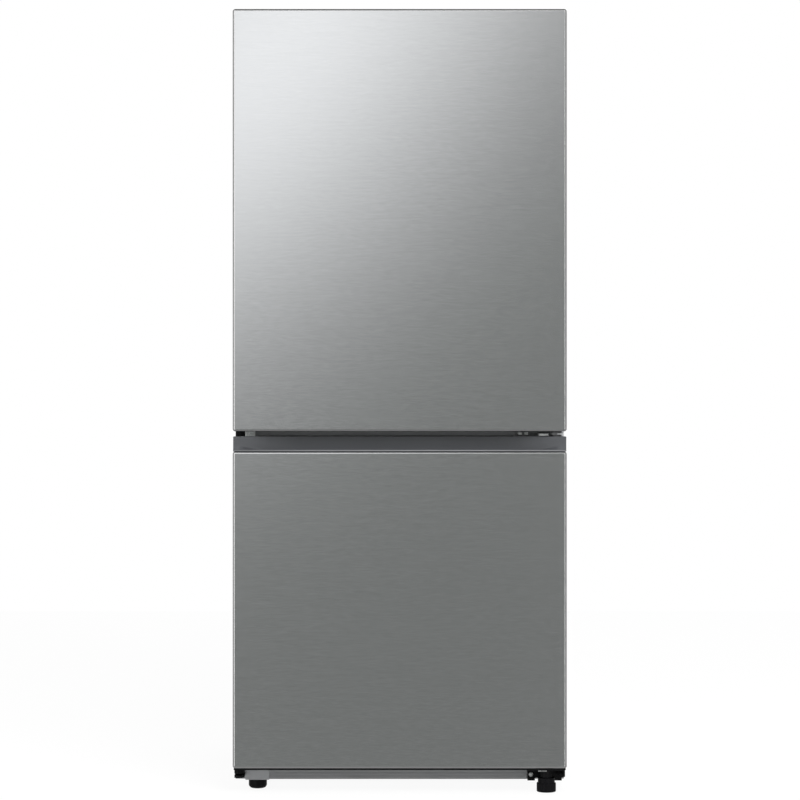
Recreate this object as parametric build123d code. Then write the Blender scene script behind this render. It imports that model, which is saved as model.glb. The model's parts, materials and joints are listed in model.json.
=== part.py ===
from build123d import *
import os

# Counter-depth refrigerator: fridge door above, freezer door below, both hinged on the right.
# Millimetres. +X is the viewer's right, +Y the wall, +Z up; origin on the floor under the middle.

# Driving sizes: doors
door_width = 705.0  # either door, edge to edge
total_depth = 690.0  # steel fronts to the rear cover
door_depth = 64.0  # steel front to the flat rim of the door liner
gasket_gap = 12.0  # door rim to cabinet front, door shut
floor_clearance = 22.0  # floor to the base pan
door_floor_gap = 55.0  # floor to the freezer door
freezer_panel_height = 668.5
grip_band_height = 31.5  # plastic grip band above the freezer door's steel
door_gap = 11.0  # between the two doors
fridge_panel_height = 891.0
panel_t = 0.8  # door steel
panel_wrap = 48.0  # how far the steel sides run back
panel_lip = 10.0  # depth of the steel's top and bottom returns
panel_corner_r = 5.5
panel_edge_r = 5.0  # roll between the front and the sides
corner_relief = 1.0  # cap corner inside the steel corner
door_rim_inset = 1.0  # liner rim inside the steel sides
cap_height = 26.0  # plastic end caps of the doors

# Driving sizes: grip scoop of the freezer door, finger trough of the fridge door
band_inset = 1.3  # band ends inside the door edges
band_setback = 0.4
grip_root = 44.0  # cap below the top of the steel
lip_height = 4.0  # lip standing on the steel
scoop_flush = 1.4  # band behind the steel front, at the ends
scoop_crest = 27.0  # pull of the lip's level top, behind the steel front
scoop_heel = 40.0  # pull of the trough's floor, behind the steel front
scoop_reach = 36.0  # top of the scoop behind the steel front, in the middle
scoop_drop = 55.0  # pull of the trough below the lip
scoop_run = 170.0  # length over which the scoop deepens from either end
scoop_stations = 7  # sections along each run
pull_depth = 22.0
pull_roof = 12.0  # plastic left above the trough
pull_front_wall = 3.0
pull_rear_wall = 4.0
pull_slope = 8.0  # lean of the trough's rear side
pull_swell = 1.35  # pull of the curve past the trough's depth
pull_end = 60.0  # trough end to door edge
pull_run = 92.0  # length over which the trough deepens
pull_stations = 4
pull_start = 0.12  # share of the depth at the trough's ends

# Driving sizes: gaskets, door liners and bins
gasket_side_inset = 24.0
gasket_end_inset = 12.0
gasket_width = 20.0
gasket_corner_r = 8.0
gasket_base_t = 4.0
gasket_bulb_inset = 3.0
gasket_clearance = 0.3  # bulb to cabinet, so the door turns free
dyke_depth = 45.0
dyke_width = 28.0
dyke_corner_r = 16.0
dyke_round = 8.0
dyke_side_gap = 21.0  # dyke to cavity wall
dyke_end_gap = 15.0
pad_depth = 15.0  # raised field of the freezer door
pad_corner_r = 20.0
pad_round = 6.0
bin_count = 3
bin_height = 118.0
bin_reach = 110.0  # bin front behind the door rim
bin_bow = 10.0  # swell of the bin front
bin_gap = 1.0  # bin end to dyke
bin_back_gap = 0.5
bin_corner_r = 10.0
bin_lift = 10.0  # lowest bin above the dyke's lower bar
bin_ledge = 14.0
bin_ledge_t = 8.0
bin_ledge_setback = 6.0  # ledge end short of the dyke's crest

# Driving sizes: cabinet
cabinet_step = 1.5  # cabinet sides inside the door edges
top_step = 1.0  # cabinet top above the fridge door
shell_t = 1.0
shell_bend_r = 6.0
side_wall = 48.0  # shell outside to liner outside
back_wall = 56.0  # rear sheet to liner outside
rail_margin = 5.0  # lower freezer gasket to the opening
liner_t = 2.0
liner_corner_r = 30.0
liner_side_r = 18.0
sheet_t = 1.0  # rear sheet
bead_rise = 1.2  # stiffening beads of the rear sheet
bead_width = 26.0
bead_end_r = 11.0
bead_spacing = 193.0
bead_margin = 80.0  # bead ends to the sheet's edges
pan_t = 1.5
cover_t = 2.0  # machine cover on the rear
machine_depth = 188.0
machine_height = 227.0
step_wall = 45.0  # foam round the machine compartment

# Driving sizes: hinges
pin_edge = 20.0  # pin to the right door edge
pin_setback = 36.0  # pin behind the steel front
pin_r = 5.0
pin_length = 20.0  # engaged length
bush_r = 8.0
bush_depth = 22.0
bush_flange_r = 11.0
bush_clearance = 0.05
seat_clearance = 0.2  # bush flange to hinge plate
bottom_bush_rise = 4.8  # flange under the freezer door
plate_t = 4.0
top_plate_t = 2.5
flange_t = 2.5
flange_rise = 11.0  # middle hinge flange above and below its plate
flange_corner_r = 4.0
flange_length = 86.0  # from the pin to the flange's left end
web_length = 30.0
web_depth = 16.0
hinge_arm_half = 15.0
top_arm_half = 11.0
hinge_foot_left = 36.0  # top hinge foot, left of the pin
hinge_foot_right = 14.0
hinge_foot_start = 6.0  # behind the cabinet front
hinge_foot_end = 64.0
hinge_foot_r = 6.0
hinge_cover_t = 1.5
hinge_cover_margin = 4.0  # cover past the hinge foot
hinge_cover_low = 4.5  # over the door
hinge_cover_high = 10.5  # over the screws
hinge_cover_nose = 4.0  # behind the pin
hinge_cover_fit = 0.3  # round the hinge arm
lower_leg_t = 3.0
lower_nose = 10.0  # lower hinge ahead of the pin
lower_nose_r = 9.0
lower_skirt = 6.5  # ears below the rest of the lower hinge
lower_ear_width = 16.0
lower_ear_inset = 4.5  # right ear inside the cabinet side
lower_ear_drop = 3.5  # ears below the base pan
cheek_rise = 7.0  # cheek above the ears
sleeve_wall = 7.0  # round the right foot's stud
top_screw_offsets = [(-24.0, 20.0), (4.0, 34.0), (-24.0, 52.0)]  # from the pin and the cabinet front
middle_screw_offsets = [-76.0, -62.0]  # from the pin
lower_screw_offsets = [(-52.0, 10.0), (8.0, 14.0)]  # from the pin and the base pan
screw_r = 2.5
screw_head_r = 5.0
screw_head_t = 3.0
screw_round = 1.8
recess_length = 5.0
recess_width = 1.2
recess_depth = 0.7

# Driving sizes: feet, rollers and the trim between them
left_foot_edge = 46.4  # foot axis to the cabinet side
left_foot_setback = 19.0  # behind the cabinet front
left_foot_r = 19.5
left_foot_height = 19.5
left_foot_round = 8.0
left_stud_rise = 20.0  # stud above the pan
right_foot_edge = 39.3
right_foot_forward = 31.0  # ahead of the cabinet front
right_foot_r = 20.5
right_foot_height = 19.0
right_foot_round = 2.0
shank_r = 18.0
shank_top = 29.6
stud_r = 5.0
stud_hole_gap = 4.0  # pan and foam round the left stud
flute_count = 18
flute_r = 2.2
flute_start = 3.0
roller_r = 15.0
roller_width = 18.0
roller_round = 2.0
roller_edge = 51.0
roller_back = 43.0  # roller axis to the rear sheet
roller_gap = 0.5  # tread to cheek
axle_r = 4.0
axle_end = 2.0  # stub past its cheek
cheek_t = 2.0
cheek_half = 14.0
cheek_drop = 8.0  # cheek below the axle
hat_rise = 4.0  # hat above the tread
wing_width = 13.0
wing_t = 2.0
well_gap = 1.0  # pan round a roller bracket
run_clearance = 0.05  # shafts in their holes
kick_left_margin = 72.0  # kick plate end to the cabinet side
kick_right_margin = 79.0
kick_t = 6.0
kick_round = 1.5
groove_count = 3
groove_depth = 1.2
groove_width = 2.2
foot_bracket_width = 51.0
foot_bracket_t = 3.0
foot_sole_t = 2.0
foot_sole_reach = 26.0
heel_drop = 15.0
heel_wall = 5.0
heel_rear = 16.0
heel_roof = 10.0
plug_t = 3.0
plug_rise = 8.0

# Driving sizes: inside the fridge
crisper_zone = 180.0
crisper_setback = 122.0
crisper_back_gap = 8.0
shelf_setback = 128.0
shelf_count = 3  # the lowest one covers the crisper
shelf_back_gap = 6.0  # glass to the air duct
glass_t = 4.0
glass_corner_r = 4.0
shelf_rib = 12.0
rib_end = 12.0  # ribs and rails short of what they carry
shelf_gap = 3.0  # glass edge to cavity wall
trim_height = 16.0
trim_depth = 14.0
trim_cover = 9.0  # glass held in the trim
trim_round = 5.0
rear_trim_lip = 4.0
duct_depth = 22.0
duct_half = 118.0
duct_wall = 3.0
duct_corner_r = 14.0
duct_round = 8.0
duct_low_gap = 30.0  # duct to the lowest shelf
duct_high_gap = 60.0
duct_slot_x = 64.0
duct_slot_rise = 130.0  # vents above each shelf
lamp_half = 130.0
lamp_setback = 170.0
lamp_depth = 50.0
lamp_drop = 9.0
lamp_corner_r = 12.0
lamp_round = 4.0

# Driving sizes: drawers and the freezer
drawer_wall = 2.5
drawer_gap = 6.0  # drawer side to cavity wall
drawer_draft = 5.0  # drawer walls lean out by this much
drawer_corner_r = 14.0
drawer_setback = 36.0  # freezer drawers behind the cabinet front
drawer_rail = 30.0
rail_rise = 8.0
slide_clearance = 0.2
drawer_headroom = 16.0
drawer_back_gap = 10.0
bottom_drawer_back_gap = 34.0
drawer_lip_t = 3.0
drawer_lip_height = 26.0
drawer_lip_round = 2.5
drawer_grip_length = 252.0  # finger groove
drawer_grip_top = 8.0
drawer_grip_height = 14.0
evaporator_space = 85.0
evaporator_depth = 46.0
evaporator_inset = 60.0
evaporator_web = 8.0
fin_count = 24
bend_rows = 4
bend_tube_r = 4.0
cover_fit = 0.3  # evaporator cover to the freezer walls
cover_wall = 3.0
cover_return_end = 34.0
vent_columns = 6
vent_pitch = 76.0
vent_length = 62.0
vent_height = 10.0
vent_row_pitch = 26.0
low_vent_rise = 24.0

# Driving sizes: fans and the machine compartment
fan_r = 52.0
fan_margin = 16.0  # fan to the freezer ceiling
hub_r = 15.0
hub_width = 14.0
hub_round = 3.0
hub_gap = 4.0  # hub to motor
blade_count = 5
blade_sink = 1.5  # blade root inside the hub
blade_root_chord = 15.0
blade_tip_chord = 32.0
blade_root_t = 1.8
blade_tip_t = 1.4
blade_root_pitch = 44.0  # degrees
blade_tip_pitch = 23.0
shaft_r = 3.0
shaft_end = 2.0  # shaft past the hub
motor_r = 22.0
motor_length = 34.0
motor_plate_half = 46.0
motor_plate_rise = 14.0
motor_plate_t = 3.0
motor_plate_r = 6.0
shroud_t = 3.0
shroud_gap = 6.0  # fan tip to shroud
shroud_half = 74.0
shroud_corner_r = 14.0
shroud_arms = 3
arm_width = 10.0
fan_axis_rise = 88.0  # above the pan
fan_to_condenser = 48.0
compressor_edge = 175.0  # axis to the left side
compressor_r = 74.0
compressor_height = 158.0
compressor_dome_r = 42.0
compressor_foot_r = 14.0
sole_half_x = 98.0
sole_half_y = 60.0
sole_t = 3.0
sole_hole_r = 4.0
grommet_x = 84.0
grommet_y = 48.0
grommet_r = 10.0
grommet_waist_r = 7.5
grommet_height = 12.0
grommet_lip = 4.0
terminal_depth = 18.0
terminal_half = 26.0
terminal_rise = 50.0
terminal_height = 54.0
terminal_r = 5.0
stub_r = 4.0
stub_length = 18.0
stub_spacing = 16.0
stub_rise = 60.0
condenser_edge = 65.0  # right end to the cabinet side
condenser_length = 202.0
condenser_pitch = 28.0
condenser_runs = 5
condenser_rise = 60.0
condenser_bend_r = 12.9
condenser_plate_inset = 28.0
condenser_plate_half = 16.0
condenser_plate_t = 2.0
tube_r = 3.0
tray_inset = 34.0  # drain pan inside the condenser's length
tray_front = 60.0
tray_rear = 70.0
tray_height = 34.0
tray_wall = 2.0
tray_corner_r = 10.0
cover_margin = 14.0  # machine cover to the cabinet sides
cover_lift = 3.0
cover_lap = 12.0  # over the rear sheet
cover_corner_r = 8.0
louvre_columns = 4
louvre_pitch_x = 125.0
louvre_length = 84.0
louvre_height = 7.0
louvre_rows = 9
louvre_pitch_z = 18.0
louvre_rise = 40.0
cord_edge = 66.0  # cord gland to the cabinet side
cord_height = 200.0
gland_r = 9.0
gland_bore_r = 4.0
gland_collar = 4.0
gland_depth = 6.0

# Places worked out from the driving sizes
over = 1.0  # cuts run this far past a face
door_half = door_width / 2
front_y = -total_depth / 2
back_y = total_depth / 2
wrap_y = front_y + panel_wrap
door_back_y = front_y + door_depth
cab_front = door_back_y + gasket_gap
panel_back = back_y - cover_t
freezer_panel_top = door_floor_gap + freezer_panel_height
freezer_door_top = freezer_panel_top + grip_band_height
fridge_door_bottom = freezer_door_top + door_gap
fridge_door_top = fridge_door_bottom + fridge_panel_height
cab_top = fridge_door_top + top_step
cab_half = door_half - cabinet_step
liner_half = cab_half - side_wall
cavity_half = liner_half - liner_t
fridge_low = fridge_door_bottom + gasket_end_inset + gasket_width
fridge_high = cab_top - side_wall
freezer_low = door_floor_gap + gasket_end_inset + gasket_width + rail_margin
freezer_high = freezer_door_top - gasket_end_inset - gasket_width
fridge_floor = fridge_low + liner_t
fridge_ceiling = fridge_high - liner_t
freezer_floor = freezer_low + liner_t
freezer_ceiling = freezer_high - liner_t
liner_back = panel_back - back_wall
cavity_back = liner_back - liner_t
pan_top = floor_clearance + pan_t
machine_front = panel_back - machine_depth
machine_top = pan_top + machine_height
step_y = machine_front - step_wall
step_z = machine_top + step_wall
step_floor = step_z + liner_t
pin_x = door_half - pin_edge
pin_y = front_y + pin_setback
middle_plate_z = freezer_door_top + (door_gap - plate_t) / 2
bottom_plate_z = door_floor_gap - seat_clearance - bottom_bush_rise - plate_t
bottom_plate_top = bottom_plate_z + plate_t
shelf_pitch = (fridge_ceiling - fridge_floor - crisper_zone) / shelf_count
shelf_levels = [fridge_floor + crisper_zone + shelf_pitch * i for i in range(shelf_count)]
shelf_front = cab_front + shelf_setback
shelf_back = cavity_back - duct_depth - shelf_back_gap
crisper_front = cab_front + crisper_setback
crisper_back = shelf_back - crisper_back_gap
crisper_low = fridge_floor + rail_rise + slide_clearance
crisper_high = fridge_floor + crisper_zone - drawer_headroom
dyke_half = cavity_half - dyke_side_gap
dyke_low = fridge_floor + dyke_end_gap
dyke_high = fridge_ceiling - dyke_end_gap
bin_half = dyke_half - dyke_width - bin_gap
bin_pitch = (dyke_high - dyke_low - dyke_width) / bin_count
bin_levels = [dyke_low + dyke_width + bin_lift + bin_pitch * i for i in range(bin_count)]
drawer_half = cavity_half - drawer_gap
drawer_front = cab_front + drawer_setback
evaporator_front = cavity_back - evaporator_space
drawer_back = evaporator_front - drawer_back_gap
bottom_drawer_back = step_y - liner_t - bottom_drawer_back_gap
drawer_bay = (freezer_ceiling - step_floor) / 2
fan_z = freezer_ceiling - fan_r - fan_margin
fan_motor_y = cavity_back - motor_length
left_foot_x = -cab_half + left_foot_edge
left_foot_y = cab_front + left_foot_setback
right_foot_x = cab_half - right_foot_edge
right_foot_y = cab_front - right_foot_forward
roller_x = cab_half - roller_edge
roller_y = panel_back - roller_back
kick_left = -cab_half + kick_left_margin
kick_right = cab_half - kick_right_margin
top_screws = [(pin_x + x, cab_front + y) for x, y in top_screw_offsets]
middle_screws = [pin_x + x for x in middle_screw_offsets]
middle_screw_z = middle_plate_z + plate_t / 2
lower_screws = [(pin_x + x, floor_clearance + z) for x, z in lower_screw_offsets]
machine_y = (machine_front + panel_back) / 2
compressor_x = -cab_half + compressor_edge
compressor_base = pan_top + grommet_height
corners = [(i, j) for i in (-1, 1) for j in (-1, 1)]
grommet_places = [(compressor_x + i * grommet_x, machine_y + j * grommet_y) for i, j in corners]
condenser_x1 = cab_half - condenser_edge
condenser_x0 = condenser_x1 - condenser_length
condenser_low = pan_top + condenser_rise
shroud_x = condenser_x0 - fan_to_condenser
fan_axis_z = pan_top + fan_axis_rise
condenser_fan_x = shroud_x - hub_gap - hub_width / 2
evaporator_fan_y = fan_motor_y - hub_gap - hub_width / 2
cord_x = cab_half - cord_edge


# Shape helpers
def block(x0, x1, y0, y1, z0, z1):
    """A box between two corners."""
    middle = Pos((x0 + x1) / 2, (y0 + y1) / 2, (z0 + z1) / 2)
    return middle * Box(x1 - x0, y1 - y0, z1 - z0)


def rod_x(x0, x1, y, z, radius):
    return Pos((x0 + x1) / 2, y, z) * Rot(0, 90, 0) * Cylinder(radius, x1 - x0)


def rod_y(x, y0, y1, z, radius):
    return Pos(x, (y0 + y1) / 2, z) * Rot(90, 0, 0) * Cylinder(radius, y1 - y0)


def rod_z(x, y, z0, z1, radius):
    return Pos(x, y, (z0 + z1) / 2) * Cylinder(radius, z1 - z0)


def rounded_up(shape, radius):
    """Rounds the edges that run along Z."""
    return fillet(shape.edges().filter_by(Axis.Z), radius)


def ramp(share):
    """Eases from 0 to 1 with level ends."""
    share = min(1.0, max(0.0, share))
    return share * share * (3 - 2 * share)


def swell(share):
    """Grows from 0 to 1, steep at first and level at the end."""
    share = min(1.0, max(0.0, share))
    return share * (2 - share)


def evenly(count, pitch):
    """Places spread about zero."""
    return [(i - (count - 1) / 2) * pitch for i in range(count)]


def tub(x0, x1, y0, y1, z0, z1, wall, radius, draft):
    """An open-topped moulded box whose walls lean out towards the rim."""

    def form(inset):
        width, depth = x1 - x0 - 2 * inset, y1 - y0 - 2 * inset
        floor = Pos(0, 0, z0 + inset) * RectangleRounded(width - 2 * draft, depth - 2 * draft, radius - inset)
        rim = Pos(0, 0, z1) * RectangleRounded(width, depth, radius - inset)
        body = loft([floor, rim], ruled=True)
        return fillet(body.faces().sort_by(Axis.Z)[0].edges(), radius / 2 - inset)

    return Pos((x0 + x1) / 2, (y0 + y1) / 2, 0) * (form(0) - form(wall))


def vent_slots(xs, zs, length, height, y0, y1):
    """Round-ended slots through a wall that faces along Y."""
    slot = extrude(Plane.XZ * SlotOverall(length, height), amount=(y1 - y0) / 2, both=True)
    return [Pos(x, (y0 + y1) / 2, z) * slot for x in xs for z in zs]


def axial_fan():
    """A moulded fan round the Z axis: hub and twisted blades."""

    def section(radius, pitch, chord, thick):
        return Plane.YZ.offset(radius) * Rot(0, 0, pitch) * Rectangle(chord, thick)

    root = section(hub_r - blade_sink, blade_root_pitch, blade_root_chord, blade_root_t)
    blade = loft([root, section(fan_r, blade_tip_pitch, blade_tip_chord, blade_tip_t)])
    hub = Cylinder(hub_r, hub_width)
    hub = fillet(hub.edges().sort_by(Axis.Z)[-1], hub_round)
    blades = [Rot(0, 0, 360 / blade_count * i) * blade for i in range(blade_count)]
    return hub + blades - Cylinder(shaft_r + run_clearance, hub_width)


# Doors
def steel_panel(z0, z1):
    """The pressed door skin: a shallow steel tray with rolled edges, open behind."""

    def form(inset, rear):
        x = door_half - inset
        body = block(-x, x, front_y + inset, rear, z0 + inset, z1 - inset)
        body = fillet(body.edges().filter_by(Axis.Y), panel_corner_r - inset)
        return fillet(body.faces().sort_by(Axis.Y)[0].edges(), panel_edge_r - inset)

    x = door_half - panel_corner_r
    end_cut = block(-x, x, front_y + panel_lip, wrap_y + over, z0 - over, z1 + over)
    return form(0, wrap_y) - form(panel_t, wrap_y + over) - end_cut


def cap_block(z0, z1, steel_edge):
    """Plain end cap between the steel sides, bevelled where the steel corner curls over it."""
    x = door_half - panel_t
    cap = block(-x, x, front_y + panel_lip, wrap_y, z0, z1)
    corners = [e for e in cap.edges().filter_by(Axis.Y) if abs(e.center().Z - steel_edge) < over]
    return chamfer(corners, panel_corner_r - panel_t + corner_relief)


def bush_hole(z0, z1):
    return rod_z(pin_x, pin_y, z0, z1, bush_r)


def bush(z_face, z_plate):
    """Flanged hinge bush let into the door end at z_face, standing off to the hinge plate at z_plate."""
    way = 1 if z_plate > z_face else -1
    z_in = z_face - way * bush_depth
    z_out = z_plate - way * seat_clearance
    sleeve = rod_z(pin_x, pin_y, min(z_in, z_face), max(z_in, z_face), bush_r)
    flange = rod_z(pin_x, pin_y, min(z_face, z_out), max(z_face, z_out), bush_flange_r)
    low, high = min(z_in, z_out), max(z_in, z_out)
    return sleeve + flange - rod_z(pin_x, pin_y, low, high, pin_r + bush_clearance)


def mirrored_stations(half, run, count):
    """Places along X, close together over a run at either end."""
    left = [-half + run * i / count for i in range(count + 1)]
    return left + [-x for x in reversed(left)]


def grip_scoop():
    """What the fingers reach into: flush at the ends, a trough behind the steel edge in the middle."""
    lip = freezer_panel_top + lip_height
    top = freezer_door_top + over
    deep = lip - scoop_drop
    front = front_y - over
    flush = [(scoop_flush, lip + (top - lip) * i / 3) for i in range(4)]
    full = [flush[0], (scoop_crest, lip), (scoop_heel, deep), (scoop_reach, top)]

    def section(x):
        share = swell((door_half - abs(x)) / scoop_run)
        points = [(front_y + a + (c - a) * share, b + (d - b) * share) for (a, b), (c, d) in zip(flush, full)]
        curve = Bezier(*points)
        rest = Polyline(points[-1], (front, top), (front, lip), points[0])
        return Plane.YZ.offset(x) * make_face(curve.edges() + rest.edges())

    return loft([section(x) for x in mirrored_stations(door_half, scoop_run, scoop_stations)], ruled=True)


def freezer_grip_cap():
    x = door_half - band_inset
    band = block(-x, x, front_y + band_setback, wrap_y, freezer_panel_top, freezer_door_top)
    root = cap_block(freezer_panel_top - grip_root, freezer_panel_top, freezer_panel_top)
    hole = bush_hole(freezer_door_top - bush_depth, freezer_door_top)
    return band + root - grip_scoop() - hole


def fridge_grip_cap():
    """Bottom cap of the fridge door, hollowed behind the steel edge for the fingers."""
    z0 = fridge_door_bottom
    cap = cap_block(z0, z0 + pull_depth + pull_roof, z0)
    low, high = front_y + panel_lip + pull_front_wall, wrap_y - pull_rear_wall
    mouth = z0 - over
    end = door_half - pull_end

    def section(x):
        share = max(pull_start, ramp((end - abs(x)) / pull_run))
        roof = z0 + pull_depth * pull_swell * share
        curve = Bezier((low, mouth), (low, roof), (high - pull_slope, roof), (high, mouth))
        return Plane.YZ.offset(x) * make_face(curve.edges() + Line((high, mouth), (low, mouth)).edges())

    trough = loft([section(x) for x in mirrored_stations(end, pull_run, pull_stations)], ruled=True)
    return cap - trough - bush_hole(z0, z0 + bush_depth)


def door_foam(z0, z1, steel_top, caps):
    """Foam fill between the steel, the caps and the liner."""
    x = door_half - panel_t
    core = block(-x, x, front_y + panel_t, wrap_y, z0 + panel_t, steel_top - panel_t)
    rims = core.faces().sort_by(Axis.Y)[0].edges() + core.edges().filter_by(Axis.Y)
    core = chamfer(rims, panel_corner_r)
    for cap_z0, cap_z1 in caps:
        core -= block(-door_half, door_half, front_y + panel_lip, wrap_y, cap_z0, cap_z1)
    x = door_half - door_rim_inset - liner_t
    rear = block(-x, x, wrap_y, door_back_y - liner_t, z0 + liner_t, z1 - liner_t)
    return core + chamfer(rear.edges().filter_by(Axis.Y), panel_corner_r)


def liner_tray(z0, z1):
    """White inner skin of a door: a shallow tray that closes the steel from behind."""
    x = door_half - door_rim_inset
    outer = block(-x, x, wrap_y, door_back_y, z0, z1)
    outer = fillet(outer.edges().filter_by(Axis.Y), panel_corner_r)
    x -= liner_t
    inner = block(-x, x, wrap_y - over, door_back_y - liner_t, z0 + liner_t, z1 - liner_t)
    return outer - chamfer(inner.edges().filter_by(Axis.Y), panel_corner_r)


def fridge_door_liner():
    """Tray with a raised dyke all round and ledges that carry the bins."""
    crest = door_back_y + dyke_depth
    ring = block(-dyke_half, dyke_half, door_back_y, crest, dyke_low, dyke_high)
    ring = fillet(ring.edges().filter_by(Axis.Y), dyke_corner_r)
    x = dyke_half - dyke_width
    ring -= block(-x, x, door_back_y, crest, dyke_low + dyke_width, dyke_high - dyke_width)
    ring = fillet(ring.faces().sort_by(Axis.Y)[-1].outer_wire().edges(), dyke_round)
    ledges = []
    for z in bin_levels:
        ledge = block(x - bin_ledge, x, door_back_y, crest - bin_ledge_setback, z - bin_ledge_t, z)
        ledges += [ledge, mirror(ledge, about=Plane.YZ)]
    return liner_tray(fridge_door_bottom, fridge_door_top) + ring + ledges


def freezer_door_liner():
    """Tray with a low raised field that stands into the freezer opening."""
    low, high = freezer_floor + dyke_end_gap, freezer_ceiling - dyke_end_gap
    field = block(-dyke_half, dyke_half, door_back_y, door_back_y + pad_depth, low, high)
    field = fillet(field.edges().filter_by(Axis.Y), pad_corner_r)
    field = fillet(field.faces().sort_by(Axis.Y)[-1].edges(), pad_round)
    return liner_tray(door_floor_gap, freezer_door_top) + field


def gasket(z0, z1):
    """Magnetic seal: a wide foot on the door and a narrower bulb against the cabinet."""

    def ring(inset, y0, y1):
        x = door_half - gasket_side_inset - inset
        low, high = z0 + gasket_end_inset + inset, z1 - gasket_end_inset - inset
        width = gasket_width - 2 * inset
        outer = fillet(block(-x, x, y0, y1, low, high).edges().filter_by(Axis.Y), gasket_corner_r)
        return outer - block(-x + width, x - width, y0, y1, low + width, high - width)

    middle = door_back_y + gasket_base_t
    return ring(0, door_back_y, middle) + ring(gasket_bulb_inset, middle, cab_front - gasket_clearance)


def door_bin(z):
    """Bin on the fridge door: bowed front, open top, resting on the dyke ledges."""

    def plan(inset, floor, top):
        x = bin_half - inset
        rear, front = door_back_y + bin_back_gap + inset, door_back_y + bin_reach - inset
        side = front - bin_bow
        outline = Polyline((x, side), (x, rear), (-x, rear), (-x, side))
        bow = ThreePointArc((-x, side), (0, front), (x, side))
        form = extrude(Plane.XY.offset(floor) * make_face(outline.edges() + bow.edges()), amount=top - floor)
        return rounded_up(form, bin_corner_r - inset)

    return plan(0, z, z + bin_height) - plan(drawer_wall, z + drawer_wall, z + bin_height + over)


# Cabinet
def liner_form(points, half):
    """Rounded bulk of a cabinet liner: a side profile, open edge first and last, drawn across."""
    wall = FilletPolyline(*points, radius=liner_corner_r)
    profile = make_face(wall.edges() + Line(points[-1], points[0]).edges())
    form = extrude(Plane.YZ * profile, amount=half, both=True)
    mouth = points[0][0]
    sides = form.faces().sort_by(Axis.X)
    rims = [e for side in (sides[0], sides[-1]) for e in side.edges() if e.center().Y > mouth + over]
    return fillet(rims, liner_side_r)


def fridge_form(inset):
    mouth, back = cab_front - inset, liner_back - inset
    low, high = fridge_low + inset, fridge_high - inset
    return liner_form([(mouth, low), (back, low), (back, high), (mouth, high)], liner_half - inset)


def freezer_form(inset):
    """Like the fridge's, with a step behind for the machine compartment."""
    mouth, back = cab_front - inset, liner_back - inset
    low, high = freezer_low + inset, freezer_high - inset
    y, z = step_y - inset, step_z + inset
    profile = [(mouth, low), (y, low), (y, z), (back, z), (back, high), (mouth, high)]
    return liner_form(profile, liner_half - inset)


def wall_ribs(y0, y1, z0, z1, reach):
    """A pair of ribs on the side walls of a cavity."""
    rib = block(cavity_half - reach, liner_half - liner_t / 2, y0, y1, z0, z1)
    return [rib, mirror(rib, about=Plane.YZ)]


def floor_rails(y0, y1, floor):
    """A pair of low rails on a cavity floor, under a drawer."""
    outer = drawer_half - drawer_draft - drawer_corner_r
    rail = block(outer - drawer_rail, outer, y0, y1, floor - liner_t / 2, floor + rail_rise)
    return [rail, mirror(rail, about=Plane.YZ)]


def fridge_liner():
    ribs = []
    for z in shelf_levels:
        ribs += wall_ribs(shelf_front + rib_end, shelf_back - rib_end, z - shelf_rib, z, shelf_rib)
    rails = floor_rails(crisper_front + rib_end, crisper_back - rib_end, fridge_floor)
    outer = fridge_form(0)
    return outer - fridge_form(liner_t) + ribs + [outer & rail for rail in rails]


def freezer_liner():
    ribs = []
    reach = drawer_gap + drawer_draft + drawer_rail
    start = drawer_front + rib_end
    for i in range(2):
        z = step_floor + drawer_bay * i
        ribs += wall_ribs(start, drawer_back - rib_end, z, z + rail_rise, reach)
    ribs += floor_rails(start, bottom_drawer_back - rib_end, freezer_floor)
    outer = freezer_form(0)
    return outer - freezer_form(liner_t) + [outer & rib for rib in ribs]


def cabinet_shell():
    """Painted steel wrap: sides and top in one sheet, turned in at the front."""

    def wrap(inset, y0, y1, z0):
        x = cab_half - inset
        body = block(-x, x, y0, y1, z0, cab_top - inset)
        return fillet(body.edges().filter_by(Axis.Y).sort_by(Axis.Z)[-2:], shell_bend_r - inset)

    outer = wrap(0, cab_front, panel_back, floor_clearance)
    inner = wrap(shell_t, cab_front + shell_t, panel_back + over, floor_clearance - over)
    straight = fridge_high - 2 * liner_side_r
    mouth = block(-liner_half, liner_half, cab_front - over, cab_front + shell_t + over, 0, straight)
    return outer - inner - mouth - fridge_form(0)


def left_stud_hole(z0, z1):
    return rod_z(left_foot_x, left_foot_y, z0, z1, stud_r + stud_hole_gap)


def cabinet_foam():
    x = cab_half - shell_t
    core = block(-x, x, cab_front + shell_t, panel_back - sheet_t, pan_top, cab_top - shell_t)
    core = chamfer(core.edges().filter_by(Axis.Y).sort_by(Axis.Z)[-2:], shell_bend_r)
    core -= block(-x, x, machine_front, panel_back, pan_top, machine_top + sheet_t)
    pocket = left_stud_hole(pan_top, pan_top + left_stud_rise + stud_hole_gap)
    return core - fridge_form(0) - freezer_form(0) - pocket


def back_panel():
    """Rear sheet, bent forward over the machine compartment and down to the pan."""
    x = cab_half - shell_t
    top = cab_top - shell_t - shell_bend_r
    rear = block(-x, x, panel_back - sheet_t, panel_back, machine_top, top)
    deck = block(-x, x, machine_front, panel_back, machine_top, machine_top + sheet_t)
    wall = block(-x, x, machine_front, machine_front + sheet_t, pan_top, machine_top)
    half = bead_width / 2
    low, high = machine_top + bead_margin, top - bead_margin
    bead = block(-half, half, panel_back, panel_back + bead_rise, low, high)
    bead = fillet(bead.edges().filter_by(Axis.Y), bead_end_r)
    return rear + deck + wall + [Pos(x, 0, 0) * bead for x in evenly(3, bead_spacing)]


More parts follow.
